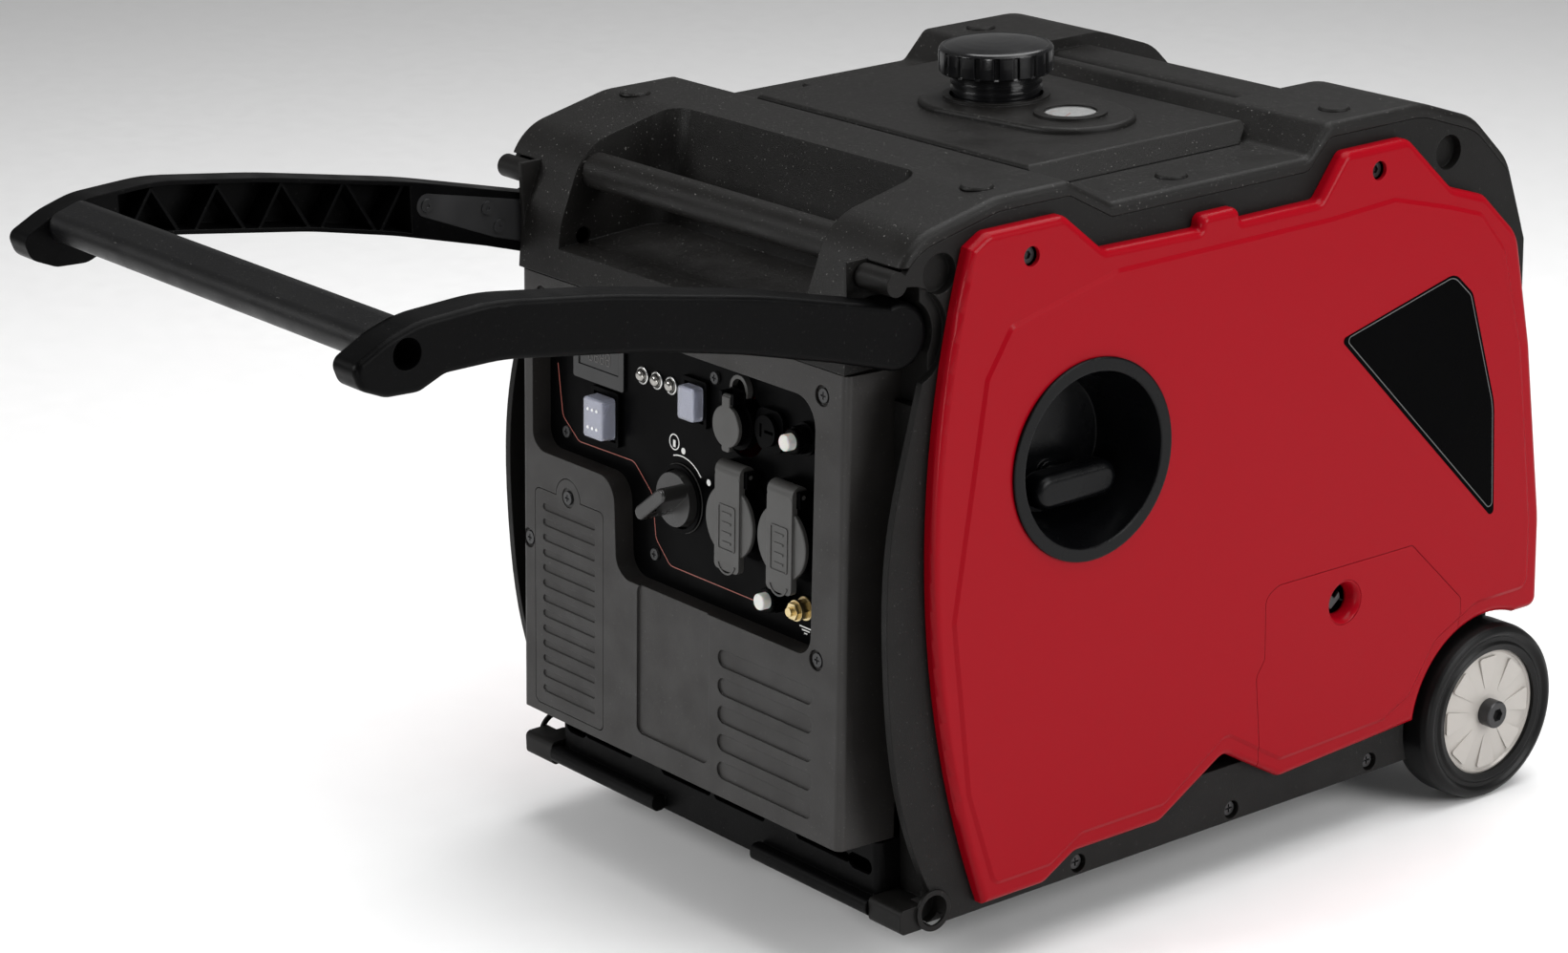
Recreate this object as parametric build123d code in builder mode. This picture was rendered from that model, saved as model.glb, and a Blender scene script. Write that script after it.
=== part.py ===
"""Closed inverter generator with a folding tow handle, two rear wheels and a recoil starter.

Millimetres, +Z up, +Y to the rear, the control panel faces -Y. The origin is on the ground,
in the middle of the whole length with the tow handle raised. Side profiles are drawn in
(y, z) measured from the body's own middle, which lies MID_Y behind the origin.
"""

from build123d import *
from math import atan2, cos, degrees, hypot, radians, sin
import os

os.makedirs("parts", exist_ok=True)

# ---------------------------------------------------------------- driving dimensions
MID_Y = 169.0  # body middle behind the origin
FRAME_X = 210.0  # outer face of the side frames and of the top cover
FRAME_IN = 178.0  # inner face of the side frames
COVER_X = 222.0  # crown of the painted side covers
PANEL_HALF = 176.8  # half width of the front panel
PANEL_FOOT, PANEL_HEAD = 97.0, 412.0  # lower and upper edge of the front panel
PANEL_LEAN = 2.5  # degrees that the front panel leans back
PANEL_Y = -304.2  # front panel face where it would meet the ground
PLATE_DEPTH = 15.0  # control plate below the panel face
BASE_Z = 46.0  # underside of the base tray
TOP_Z = 516.0  # top of the front and rear humps
SILL_Z = 496.0  # lower deck between the humps
WALL = 3.0  # moulded wall
FIT = 0.3  # gap between neighbouring shells
RUN = 0.05  # radial clearance of a running fit
PIVOT_Y, PIVOT_Z = -265.0, 439.0  # tow handle pivot
ARM_IN, ARM_OUT = 179.5, 203.5  # inner and outer face of a handle arm
WHEEL_Y, WHEEL_Z, WHEEL_R = 255.3, 64.7, 64.7
AXLE_R = 7.0
BOWL_Y, BOWL_Z, BOWL_R = -122.9, 334.3, 67.5
SHAFT_Z = 290.0  # crankshaft height, axis along Y
CAP_X, CAP_Y, CAP_R = -12.0, 0.0, 39.5
GAUGE_X = 64.0


# ---------------------------------------------------------------- planes and outlines
def side(x):
    """Sketch plane seen from the right: sketch x is Y from the body middle, sketch y is Z."""
    return Plane(origin=(x, MID_Y, 0), x_dir=(0, 1, 0), z_dir=(1, 0, 0))


def facing(y):
    """Upright sketch plane that faces the front: sketch x is X, sketch y is Z."""
    return Plane(origin=(0, MID_Y + y, 0), x_dir=(1, 0, 0), z_dir=(0, -1, 0))


def level(z):
    """Horizontal sketch plane: sketch x is X, sketch y is Y from the body middle."""
    return Plane(origin=(0, MID_Y, z), x_dir=(1, 0, 0), z_dir=(0, 0, 1))


def panel(depth=0.0, x=0.0, z=0.0):
    """Sketch plane on the leaning front panel, `depth` behind its face, centred at (x, z)."""
    lean = radians(PANEL_LEAN)
    up = (0, sin(lean), cos(lean))
    out = (0, -cos(lean), sin(lean))
    y = PANEL_Y + z * sin(lean) / cos(lean)
    origin = (x, MID_Y + y - depth * out[1], z - depth * out[2])
    return Plane(origin=origin, x_dir=(1, 0, 0), z_dir=out)


def rounded(points, radii):
    """Closed outline through `points` with one fillet radius for each of them."""
    return FilletPolyline(*points, radius=radii, close=True)


TOP_LINE = [
    (-288, 413),
    (-284, 448),
    (-262, 500),
    (-190, TOP_Z),
    (-131, TOP_Z),
    (-95, SILL_Z),
    (79, SILL_Z),
    (99, TOP_Z),
    (186, TOP_Z),
    (238, 498),
    (273, 463),
    (290, 413),
]
TOP_RADII = [60, 40, 50, 8, 8, 8, 8, 60, 40, 40]
SEAM_DROP = 9.0  # height of the top cover's side band


def top_outline(drop=0.0, foot=413.0):
    """Side outline of the top cover, lowered by `drop` and closed along z = `foot`."""
    pts = [(y, z - drop) for y, z in TOP_LINE]
    FilletPolyline(*pts, radius=TOP_RADII)
    corners = [(pts[-1][0], foot), (pts[0][0], foot)] if foot < pts[0][1] else []
    Polyline(pts[-1], *corners, pts[0])


COVER_TOP = [
    (-221, 490),
    (-207, 498),
    (-143, 498),
    (-110, 470),
    (-27, 468),
    (-26, 477),
    (8, 477),
    (9, 468),
    (81, 468),
    (104, 497),
    (164, 497),
    (207, 456),
    (240, 445),
    (274, 412),
    (290, 330),
    (306, 200),
    (306, 132),
]
COVER_TOP_RADII = [10, 10, 8, 2, 6, 6, 2, 6, 8, 14, 14, 14, 30, 60, 120, 8]
ARCH_R = 73.0
ARCH_FRONT = (WHEEL_Y - ARCH_R * cos(radians(8)), WHEEL_Z + ARCH_R * sin(radians(8)))
ARCH_MID = (WHEEL_Y - ARCH_R * cos(radians(50)), WHEEL_Z + ARCH_R * sin(radians(50)))
ARCH_BACK = (WHEEL_Y + ARCH_R * cos(radians(68)), WHEEL_Z + ARCH_R * sin(radians(68)))
COVER_FOOT = [
    ARCH_FRONT,
    (52, 68),
    (0, 99),
    (-59, 65),
    (-135, 65),
    (-162, 50),
    (-214, 50),
]
COVER_FOOT_RADII = [8, 10, 10, 10, 10]
COVER_BOW = (-253, 250)


def cover_outline():
    """Outline of a painted side cover."""
    upper = FilletPolyline(*COVER_TOP, ARCH_BACK, radius=COVER_TOP_RADII)
    ThreePointArc(ARCH_BACK, ARCH_MID, ARCH_FRONT)
    lower = FilletPolyline(*COVER_FOOT, radius=COVER_FOOT_RADII)
    ThreePointArc(lower @ 1, COVER_BOW, upper @ 0)


DOOR_LINE = [
    (34, 40),
    (26, 148),
    (34, 159),
    (34, 203),
    (46, 209),
    (174, 208),
    (224, 158),
    (224, 60),
]


def door_outline():
    """Parting line of the maintenance door in the right cover, open towards its lower edge."""
    rounded(DOOR_LINE, [0, 8, 8, 10, 10, 5, 5, 0])


# ---------------------------------------------------------------- top cover and tank deck
RECESS_X = 132.0  # half width of the front hand recess
RECESS_LINE = [(-320, 431), (-290, 433), (-200, 438), (-180, 540), (-320, 540)]
HOLD_X = 112.0  # half width of the rear hand-hold
HOLD_LINE = [(106, 540), (106, 462), (118, 451), (320, 445), (320, 540)]
PIVOT_WALL = 173.5  # inner face of the wall that carries a handle pivot
STUB_Y, STUB_Z, STUB_R = -272.0, 475.0, 8.0


def polygon(points, grow=0.0):
    """Fill the closed polygon through `points`, grown outwards by `grow`."""
    Polygon(*points, align=None)
    if grow:
        offset(amount=grow, kind=Kind.INTERSECTION)


with BuildPart() as recess_tool:
    with BuildSketch(side(0)):
        polygon(RECESS_LINE)
    extrude(amount=RECESS_X, both=True)
    fillet(recess_tool.edges().filter_by(Axis.Z, tolerance=12).group_by(Axis.Y)[-1], 18)

with BuildPart() as hold_tool:
    with BuildSketch(side(0)):
        polygon(HOLD_LINE)
    extrude(amount=HOLD_X, both=True)

with BuildPart() as hand_walls:
    with BuildSketch(side(0)):
        with BuildLine():
            top_outline()
        make_face()
    extrude(amount=FRAME_X - 8, both=True)
    with BuildSketch(side(0)):
        polygon(RECESS_LINE, WALL)
    with BuildSketch(side(0)):
        polygon(HOLD_LINE, WALL)
    extrude(amount=RECESS_X + WALL, both=True, mode=Mode.INTERSECT)

with BuildPart() as top_cover:
    with BuildSketch(side(0)):
        with BuildLine():
            top_outline()
        make_face()
    extrude(amount=FRAME_X, both=True)
    ends = top_cover.faces().filter_by(Axis.X).edges()
    rims = ends.filter_by(lambda e: e.center().Z > 414 and e.bounding_box().max.Z > 420)
    fillet(rims, 5)
    with BuildSketch(side(0)):
        with BuildLine():
            top_outline()
        make_face()
        offset(amount=-WALL, kind=Kind.INTERSECTION)
        with Locations((0, 413)):
            Rectangle(568, 8)
    extrude(amount=FRAME_X - WALL - 0.3, both=True, mode=Mode.SUBTRACT)
    add(hand_walls.part)
    add(recess_tool.part, mode=Mode.SUBTRACT)
    add(hold_tool.part, mode=Mode.SUBTRACT)
    for x in (-PANEL_HALF, PIVOT_WALL):
        with BuildSketch(side(x)):
            with Locations((-260, 449)):
                Rectangle(50, 72)
        extrude(amount=PANEL_HALF - PIVOT_WALL)
    for x, way in ((FRAME_IN - 0.8, 1), (0.8 - FRAME_IN, -1)):
        with BuildSketch(side(x)):
            with BuildLine():
                top_outline(drop=SEAM_DROP, foot=390)
            make_face()
        extrude(amount=40 * way, mode=Mode.SUBTRACT)
    for x, way in ((PANEL_HALF, 1), (-PANEL_HALF, -1)):
        with BuildSketch(side(x)):
            with Locations((-270, 438)):
                Rectangle(72, 92)
        extrude(amount=40 * way, mode=Mode.SUBTRACT)
    with BuildSketch(side(0)):
        with Locations((159, 496)):
            RectangleRounded(46, 24, 10)
    extrude(amount=HOLD_X + WALL, both=True)
    with BuildSketch(side(0)):
        with Locations((PIVOT_Y, PIVOT_Z)):
            Circle(6)
    extrude(amount=FRAME_X, both=True, mode=Mode.SUBTRACT)
    with BuildSketch(level(470)):
        with Locations((0, 0)):
            Rectangle(240, 160)
        with Locations((GAUGE_X, 0)):
            Circle(12)
    extrude(amount=40, mode=Mode.SUBTRACT)

DECK_FOOT, DECK_HEAD, DECK_Z = 152.0, 140.0, 509.5
PED_Z = 514.0
with BuildPart() as tank_deck:
    with BuildSketch(side(0)):
        polygon([(-88, 496.3), (-117, DECK_Z), (91, DECK_Z), (72, 496.3)])
    extrude(amount=200, both=True)
    with BuildSketch(facing(-130)):
        polygon([(-DECK_FOOT, 496), (DECK_FOOT, 496), (DECK_HEAD, 510), (-DECK_HEAD, 510)])
    extrude(amount=-240, mode=Mode.INTERSECT)
    fillet(tank_deck.faces().sort_by(Axis.Z)[-1].edges(), 3)
    with BuildSketch(level(490)):
        Rectangle(220, 140)
    extrude(amount=16.5, mode=Mode.SUBTRACT)
    with BuildSketch(level(DECK_Z - 1)):
        with Locations((CAP_X, CAP_Y)):
            Circle(54)
        with Locations((GAUGE_X, CAP_Y)):
            Circle(44)
        make_hull()
    extrude(amount=PED_Z - DECK_Z + 1)
    fillet(tank_deck.faces().sort_by(Axis.Z)[-1].edges(), 3)
    with BuildSketch(level(PED_Z)):
        with Locations((GAUGE_X, CAP_Y)):
            Circle(25)
            Circle(18, mode=Mode.SUBTRACT)
        with Locations((CAP_X, CAP_Y)):
            Circle(37)
    extrude(amount=2)
    with BuildSketch(level(480)):
        with Locations((CAP_X, CAP_Y)):
            Circle(32.3)
        with Locations((GAUGE_X, CAP_Y)):
            Circle(18)
    extrude(amount=60, mode=Mode.SUBTRACT)

with BuildPart() as gauge_lens:
    with BuildSketch(level(PED_Z - 3)):
        with Locations((GAUGE_X, CAP_Y)):
            Circle(18)
    extrude(amount=4)
    fillet(gauge_lens.faces().sort_by(Axis.Z)[-1].edges(), 1.5)

with BuildPart() as grab_bar:
    with BuildSketch(side(-RECESS_X)):
        with Locations((-252, 482)):
            Circle(12.5)
    extrude(amount=2 * RECESS_X)

PLUGS = [(181, -183, TOP_Z), (181, 131, TOP_Z), (184, -20, SILL_Z)]
with BuildPart() as trim_plugs:
    for x, y, z in PLUGS:
        for hand in (-1, 1):
            with BuildSketch(level(z)):
                with Locations((hand * x, y)):
                    Circle(11)
            extrude(amount=2, taper=30)

# ---------------------------------------------------------------- front panel
RECESS = [(-164, 391), (-164, 287), (-69, 287), (-66, 220), (145, 220), (147, 391)]
RECESS_R = [10, 14, 18, 16, 14, 20]
SERVICE = [(-161, 104), (-81, 104), (-81, 260), (-161, 260)]


def service_outline(grow=0.0):
    """Outline of the service door: a rounded rectangle with an ear for its screw."""
    with Locations((-121, 182)):
        RectangleRounded(80 + 2 * grow, 156 + 2 * grow, 5)
    with Locations((-122, 260)):
        Circle(14 + grow)


GROOVES = [116 + 19.5 * i for i in range(5)]
PANEL_SCREWS = [(153, 395), (151, 220), (-169, 221), (-153, 397)]
with BuildPart() as front_panel:
    with BuildSketch(panel()):
        with Locations((0, (PANEL_FOOT + PANEL_HEAD) / 2)):
            Rectangle(2 * PANEL_HALF, PANEL_HEAD - PANEL_FOOT)
    extrude(amount=-46)
    fillet(front_panel.edges().filter_by(Axis.Z, tolerance=5).group_by(Axis.Y)[0], 5)
    with BuildSketch(panel(WALL)):
        with Locations((0, (PANEL_FOOT + PANEL_HEAD) / 2)):
            Rectangle(2 * (PANEL_HALF - WALL), PANEL_HEAD - PANEL_FOOT - 2 * WALL)
    extrude(amount=-60, mode=Mode.SUBTRACT)
    with BuildSketch(panel(WALL)):
        with BuildLine():
            rounded(RECESS, RECESS_R)
        make_face()
        offset(amount=WALL)
    extrude(amount=-PLATE_DEPTH)
    with BuildSketch(panel(-1)):
        with BuildLine():
            rounded(RECESS, RECESS_R)
        make_face()
    extrude(amount=-40, mode=Mode.SUBTRACT)
    with BuildSketch(panel(2)):
        service_outline(0.5)
    extrude(amount=3, mode=Mode.SUBTRACT)
    with BuildSketch(panel(1.6)):
        with Locations((-2, 168)):
            RectangleRounded(80, 106, 6)
    extrude(amount=3, mode=Mode.SUBTRACT)
    with BuildSketch(panel(1.4)):
        for z in GROOVES:
            with Locations((98, z)):
                SlotOverall(100, 12)
    extrude(amount=3, mode=Mode.SUBTRACT)
    with BuildSketch(panel(2.5)):
        for x, z in PANEL_SCREWS:
            with Locations((x, z)):
                Circle(7)
    extrude(amount=4, mode=Mode.SUBTRACT)

with BuildPart() as service_door:
    with BuildSketch(panel(2)):
        service_outline()
    extrude(amount=2)
    with BuildSketch(panel(0.9)):
        for i in range(13):
            with Locations((-121, 116 + 11 * i)):
                SlotOverall(62, 5)
    extrude(amount=2, mode=Mode.SUBTRACT)
    with BuildSketch(panel(1)):
        with Locations((-122, 261)):
            Circle(7)
    extrude(amount=2, mode=Mode.SUBTRACT)

SOCKETS = [(58.2, 288.6), (113.2, 288.6)]
with BuildPart() as control_plate:
    with BuildSketch(panel(PLATE_DEPTH + 2.5)):
        with BuildLine():
            rounded(RECESS, RECESS_R)
        make_face()
        offset(amount=-0.1)
        with Locations(SOCKETS + [(54, 352)]):
            Circle(22.8, mode=Mode.SUBTRACT)
    extrude(amount=2.5)
    with BuildSketch(panel(PLATE_DEPTH)):
        with Locations((-13, 285)):
            Circle(23.5)
            Circle(20.5, mode=Mode.SUBTRACT)
    extrude(amount=2.5)

# ---------------------------------------------------------------- things on the control plate
ROCKER_GAP = 2.4  # room under a rocker for its tilt
START = (-96, 322.5)
ECO = (4, 355)
with BuildPart() as switch_housings:
    for (x, z), (w, h) in ((START, (31, 38)), (ECO, (27, 32))):
        with BuildSketch(panel(PLATE_DEPTH, x, z)):
            RectangleRounded(w, h, 2)
            Rectangle(w - 6, h - 6, mode=Mode.SUBTRACT)
        extrude(amount=3)

with BuildPart() as start_rocker:
    with BuildSketch(panel(PLATE_DEPTH - ROCKER_GAP, *START)):
        RectangleRounded(19, 25, 2)
    extrude(amount=7)
    fillet(start_rocker.faces().sort_by(Axis.Y)[0].edges(), 2)

with BuildPart() as start_boot:
    with BuildSketch(panel(PLATE_DEPTH - ROCKER_GAP, *START)):
        RectangleRounded(23, 29, 3)
    extrude(amount=11, taper=3)
    fillet(start_boot.faces().sort_by(Axis.Y)[0].edges(), 1.5)
    with BuildSketch(panel(PLATE_DEPTH - ROCKER_GAP, *START)):
        RectangleRounded(20, 26, 2.4)
    extrude(amount=8.5, mode=Mode.SUBTRACT)

with BuildPart() as eco_rocker:
    with BuildSketch(panel(PLATE_DEPTH - ROCKER_GAP, *ECO)):
        RectangleRounded(14, 19, 2)
    extrude(amount=5)
    fillet(eco_rocker.faces().sort_by(Axis.Y)[0].edges(), 1.5)

with BuildPart() as eco_boot:
    with BuildSketch(panel(PLATE_DEPTH - ROCKER_GAP, *ECO)):
        RectangleRounded(18.5, 23.5, 3)
    extrude(amount=8, taper=3)
    fillet(eco_boot.faces().sort_by(Axis.Y)[0].edges(), 1.5)
    with BuildSketch(panel(PLATE_DEPTH - ROCKER_GAP, *ECO)):
        RectangleRounded(15, 20, 2.4)
    extrude(amount=5.8, mode=Mode.SUBTRACT)

with BuildPart() as display_window:
    with BuildSketch(panel(PLATE_DEPTH, -105, 360)):
        RectangleRounded(58, 34, 2)
    extrude(amount=2)
    with BuildSketch(panel(PLATE_DEPTH - 2, -105, 362)):
        Rectangle(46, 18)
    extrude(amount=-0.8, mode=Mode.SUBTRACT)

LAMPS = [(-56, 360), (-40, 360), (-24, 360)]
with BuildPart() as indicator_lamps:
    for x, z in LAMPS:
        with BuildSketch(panel(PLATE_DEPTH, x, z)):
            Circle(4.6)
        extrude(amount=5)
    fillet(indicator_lamps.faces().filter_by(GeomType.PLANE).group_by(Axis.Y)[0].edges(), 3.5)

DIAL = (-13, 285)
FIN_TILT = 37.0
FIN_HOLE = 10.0  # from the dial's centre to the hole in its grip
with BuildPart() as fuel_dial:
    with BuildSketch(panel(PLATE_DEPTH - 0.4, *DIAL)):
        Circle(19.5)
    extrude(amount=7, taper=8)
    with BuildSketch(panel(PLATE_DEPTH - 5, *DIAL)):
        with Locations(Location((0, 0), FIN_TILT)):
            SlotOverall(38, 10)
    extrude(amount=22)
    fillet(fuel_dial.faces().sort_by(Axis.Y)[0].edges(), 2)
    fin_x = DIAL[0] - FIN_HOLE * cos(radians(FIN_TILT))
    fin_z = DIAL[1] - FIN_HOLE * sin(radians(FIN_TILT))
    eye = panel(PLATE_DEPTH - 20, fin_x, fin_z)
    across = eye.x_dir * -sin(radians(FIN_TILT)) + eye.y_dir * cos(radians(FIN_TILT))
    with BuildSketch(Plane(origin=eye.origin, z_dir=across)):
        Circle(4.2)
    extrude(amount=20, both=True, mode=Mode.SUBTRACT)

LID_HINGE = 33.0  # hinge line above a socket's centre
LID_FACE = 12.0  # lid underside above the plate
LID_AXIS = 5.0  # depth of the hinge line below the panel face
with BuildPart() as schuko_sockets:
    for x, z in SOCKETS:
        with BuildSketch(panel(PLATE_DEPTH, x, z)):
            RectangleRounded(50, 50, 12)
        extrude(amount=3)
        with BuildSketch(panel(PLATE_DEPTH + 9, x, z)):
            Circle(22.5)
        extrude(amount=LID_FACE + 8.6)
        with BuildSketch(panel(PLATE_DEPTH + 6, x, z)):
            Circle(19.8)
        extrude(amount=30, mode=Mode.SUBTRACT)
        with BuildSketch(panel(PLATE_DEPTH + 6, x, z)):
            with Locations((-9.5, 0), (9.5, 0)):
                Circle(2.6)
        extrude(amount=-2, mode=Mode.SUBTRACT)
        with BuildSketch(panel(PLATE_DEPTH + 6, x, z)):
            with Locations((0, -19.2), (0, 19.2)):
                Rectangle(5, 2.6)
        extrude(amount=14)
        with BuildSketch(panel(PLATE_DEPTH, x, z + LID_HINGE)):
            with Locations((-15, -2), (15, -2)):
                Rectangle(3.4, 11)
        extrude(amount=PLATE_DEPTH - LID_AXIS + 3.2)
        with BuildSketch(Plane(origin=panel(LID_AXIS, x - 20, z + LID_HINGE).origin, z_dir=(1, 0, 0))):
            Circle(1.55)
        extrude(amount=40, mode=Mode.SUBTRACT)


def schuko_lid(x, z):
    """Sprung lid of one mains socket: disc, strap, thumb tab, barrel and pin."""
    with BuildPart() as lid:
        with BuildSketch(panel(PLATE_DEPTH - LID_FACE, x, z)):
            Circle(25)
        extrude(amount=3)
        fillet(lid.faces().sort_by(Axis.Y)[0].edges(), 1)
        with BuildSketch(panel(PLATE_DEPTH - LID_FACE, x, z)):
            RectangleRounded(26, 2 * LID_HINGE, 4)
        extrude(amount=4.6)
        for reach, r in ((13, 6.5), (16.6, 1.5)):
            barrel = panel(LID_AXIS, x - reach, z + LID_HINGE)
            with BuildSketch(Plane(origin=barrel.origin, z_dir=(1, 0, 0))):
                Circle(r)
            extrude(amount=2 * reach)
    return lid


schuko_lid_left = schuko_lid(*SOCKETS[0])
schuko_lid_right = schuko_lid(*SOCKETS[1])

OUTLET = (54, 352)
DC_SOCKET = (86, 355)
CAP_HINGE = 19.0  # hinge line of the outlet cap above the outlet's centre
with BuildPart() as dc_outlets:
    with BuildSketch(panel(PLATE_DEPTH + 14, *OUTLET)):
        Circle(14)
    extrude(amount=14 + 12)
    with BuildSketch(panel(PLATE_DEPTH, *OUTLET)):
        Circle(17)
        with Locations((0, CAP_HINGE)):
            RectangleRounded(16, 10, 3)
    extrude(amount=6)
    with BuildSketch(panel(PLATE_DEPTH + 12, *OUTLET)):
        Circle(10.6)
    extrude(amount=40, mode=Mode.SUBTRACT)
    with BuildSketch(panel(PLATE_DEPTH, *OUTLET)):
        with Locations((-6, CAP_HINGE), (6, CAP_HINGE)):
            Rectangle(3, 7)
    extrude(amount=14.5)
    with BuildSketch(panel(PLATE_DEPTH, *DC_SOCKET)):
        RectangleRounded(28, 28, 8)
    extrude(amount=4)
    with BuildSketch(panel(PLATE_DEPTH - 4, *DC_SOCKET)):
        Circle(10.5)
    extrude(amount=4)
    with BuildSketch(panel(PLATE_DEPTH - 8, *DC_SOCKET)):
        with Locations(Location((-4.2, 0), 90), Location((4.2, 0), 0)):
            Rectangle(9, 2)
    extrude(amount=-6, mode=Mode.SUBTRACT)

with BuildPart() as outlet_cap:
    with BuildSketch(panel(PLATE_DEPTH - 12.3, *OUTLET)):
        Circle(14)
        with Locations((0, -12)):
            RectangleRounded(8, 10, 2)
        with Locations((0, 12)):
            Rectangle(8, 16)
    extrude(amount=3)
    fillet(outlet_cap.faces().sort_by(Axis.Y)[0].edges(), 0.8)
    with BuildSketch(panel(PLATE_DEPTH - 12.3, *OUTLET)):
        Circle(10.2)
        Circle(8.4, mode=Mode.SUBTRACT)
    extrude(amount=-4)
    hinge = panel(PLATE_DEPTH - 12.3, OUTLET[0] - 4, OUTLET[1] + CAP_HINGE)
    with BuildSketch(Plane(origin=hinge.origin, z_dir=(1, 0, 0))):
        Circle(2.2)
    extrude(amount=8)

DC_BREAKER, AC_BREAKER = (120, 357), (96, 245)
BREAKERS = [DC_BREAKER, AC_BREAKER]
BUTTON_R = 5.5
with BuildPart() as breaker_bodies:
    for x, z in BREAKERS:
        with BuildSketch(panel(PLATE_DEPTH, x, z)):
            Circle(11)
        extrude(amount=3)
        with BuildSketch(panel(PLATE_DEPTH - 3, x, z)):
            RegularPolygon(9.5, 6)
        extrude(amount=6)
        with BuildSketch(panel(PLATE_DEPTH - 9, x, z)):
            Circle(7.5)
        extrude(amount=4)
        with BuildSketch(panel(PLATE_DEPTH - 1, x, z)):
            Circle(BUTTON_R + RUN)
        extrude(amount=20, mode=Mode.SUBTRACT)


def breaker_button(x, z):
    """Push-to-reset button of a circuit breaker."""
    with BuildPart() as button:
        with BuildSketch(panel(PLATE_DEPTH - 4.5, x, z)):
            Circle(BUTTON_R)
        extrude(amount=15)
        fillet(button.faces().sort_by(Axis.Y)[0].edges(), 1.2)
    return button


dc_breaker_button = breaker_button(*DC_BREAKER)
ac_breaker_button = breaker_button(*AC_BREAKER)

TERMINAL = (121.5, 244)
with BuildPart() as ground_terminal:
    for start, deep, r, sides in ((0, 1.5, 8, 0), (1.5, 5, 6.5, 6), (6.5, 8.5, 3, 0), (7.5, 1.5, 7, 0)):
        with BuildSketch(panel(PLATE_DEPTH - start, *TERMINAL)):
            if sides:
                RegularPolygon(r, sides)
            else:
                Circle(r)
        extrude(amount=deep)
    with BuildSketch(panel(PLATE_DEPTH - 9, *TERMINAL)):
        RegularPolygon(6, 6)
    extrude(amount=3)

# ---------------------------------------------------------------- side frames
SKIRT_X = 204.5  # inner face of the outer wall that passes beside a handle arm
FRAME_FOOT = 43.0
FRONT_EDGE = [
    (-238, 43),
    (-262, 90),
    (-278, 150),
    (-284, 227),
    (-279, 314),
    (-262, 378),
    (-252, 412),
]
OPENING = [
    (-224, 84),
    (-236, 250),
    (-214, 430),
    (-190, 455),
    (160, 455),
    (222, 415),
    (260, 320),
    (274, 200),
    (274, 156),
    (176, 156),
    (150, 84),
]
ARM_RELIEF = (-250, 412)  # room for the root of a folded handle arm
COVER_SCREWS = [(-172, 477), (135, 480)]
STRIP_SCREWS = [(-124, 51), (16, 51), (149, 51)]

with BuildPart() as frame_block:
    with BuildSketch(side(FRAME_IN)):
        with BuildLine():
            top_outline(drop=SEAM_DROP + 0.3, foot=FRAME_FOOT)
        make_face()
        with Locations((-300, 250)):
            Rectangle(100, 600, mode=Mode.SUBTRACT)
        with Locations((PIVOT_Y, PIVOT_Z)):
            Circle(25, mode=Mode.SUBTRACT)
        with Locations(ARM_RELIEF):
            Rectangle(12, 44, mode=Mode.SUBTRACT)
        with BuildLine():
            rounded(OPENING, 12)
        make_face(mode=Mode.SUBTRACT)
    extrude(amount=SKIRT_X - FRAME_IN)

with BuildPart() as side_frame_right:
    with BuildSketch(side(SKIRT_X)):
        with BuildLine():
            top_outline(drop=SEAM_DROP + 0.3, foot=FRAME_FOOT)
        make_face()
        with BuildLine():
            Spline(*FRONT_EDGE)
            Polyline(FRONT_EDGE[-1], (-265, 440), (-310, 440), (-310, 30), (-238, 30), FRONT_EDGE[0])
        make_face(mode=Mode.SUBTRACT)
        with Locations((PIVOT_Y, PIVOT_Z)):
            Circle(33, mode=Mode.SUBTRACT)
        with BuildLine():
            rounded(OPENING, 12)
        make_face(mode=Mode.SUBTRACT)
        with Locations((STUB_Y, STUB_Z)):
            Circle(STUB_R)
    extrude(amount=FRAME_X - SKIRT_X)
    add(frame_block.part)
    with BuildSketch(side(FRAME_IN + 0.5)):
        with Locations((STUB_Y, STUB_Z)):
            Circle(STUB_R)
    extrude(amount=SKIRT_X - FRAME_IN)
    with BuildSketch(side(FRAME_IN)):
        with Locations((-263, 51.5)):
            RectangleRounded(28, 17, 4)
    extrude(amount=FRAME_X - FRAME_IN)
    with BuildSketch(side(FRAME_IN + 8)):
        with Locations((WHEEL_Y, WHEEL_Z)):
            Circle(ARCH_R)
    extrude(amount=40, mode=Mode.SUBTRACT)
    with BuildSketch(side(FRAME_IN)):
        with Locations((WHEEL_Y, WHEEL_Z)):
            Circle(AXLE_R)
    extrude(amount=40, mode=Mode.SUBTRACT)
    with BuildSketch(side(FRAME_X - 7)):
        with Locations((-238, 476)):
            Circle(13)
        with Locations((212, 478)):
            Circle(12)
    extrude(amount=10, mode=Mode.SUBTRACT)
    with BuildSketch(side(FRAME_X)):
        with Locations((-250, 54)):
            Circle(14)
    extrude(amount=2)
    with BuildSketch(side(FRAME_X - 12)):
        with Locations((-250, 54)):
            Circle(10.5)
    extrude(amount=20, mode=Mode.SUBTRACT)
    with BuildSketch(side(FRAME_X - 6)):
        with Locations(STRIP_SCREWS):
            Circle(6.5)
    extrude(amount=10, mode=Mode.SUBTRACT)

with BuildPart() as side_frame_left:
    mirror(side_frame_right.part, about=Plane.YZ)

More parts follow.
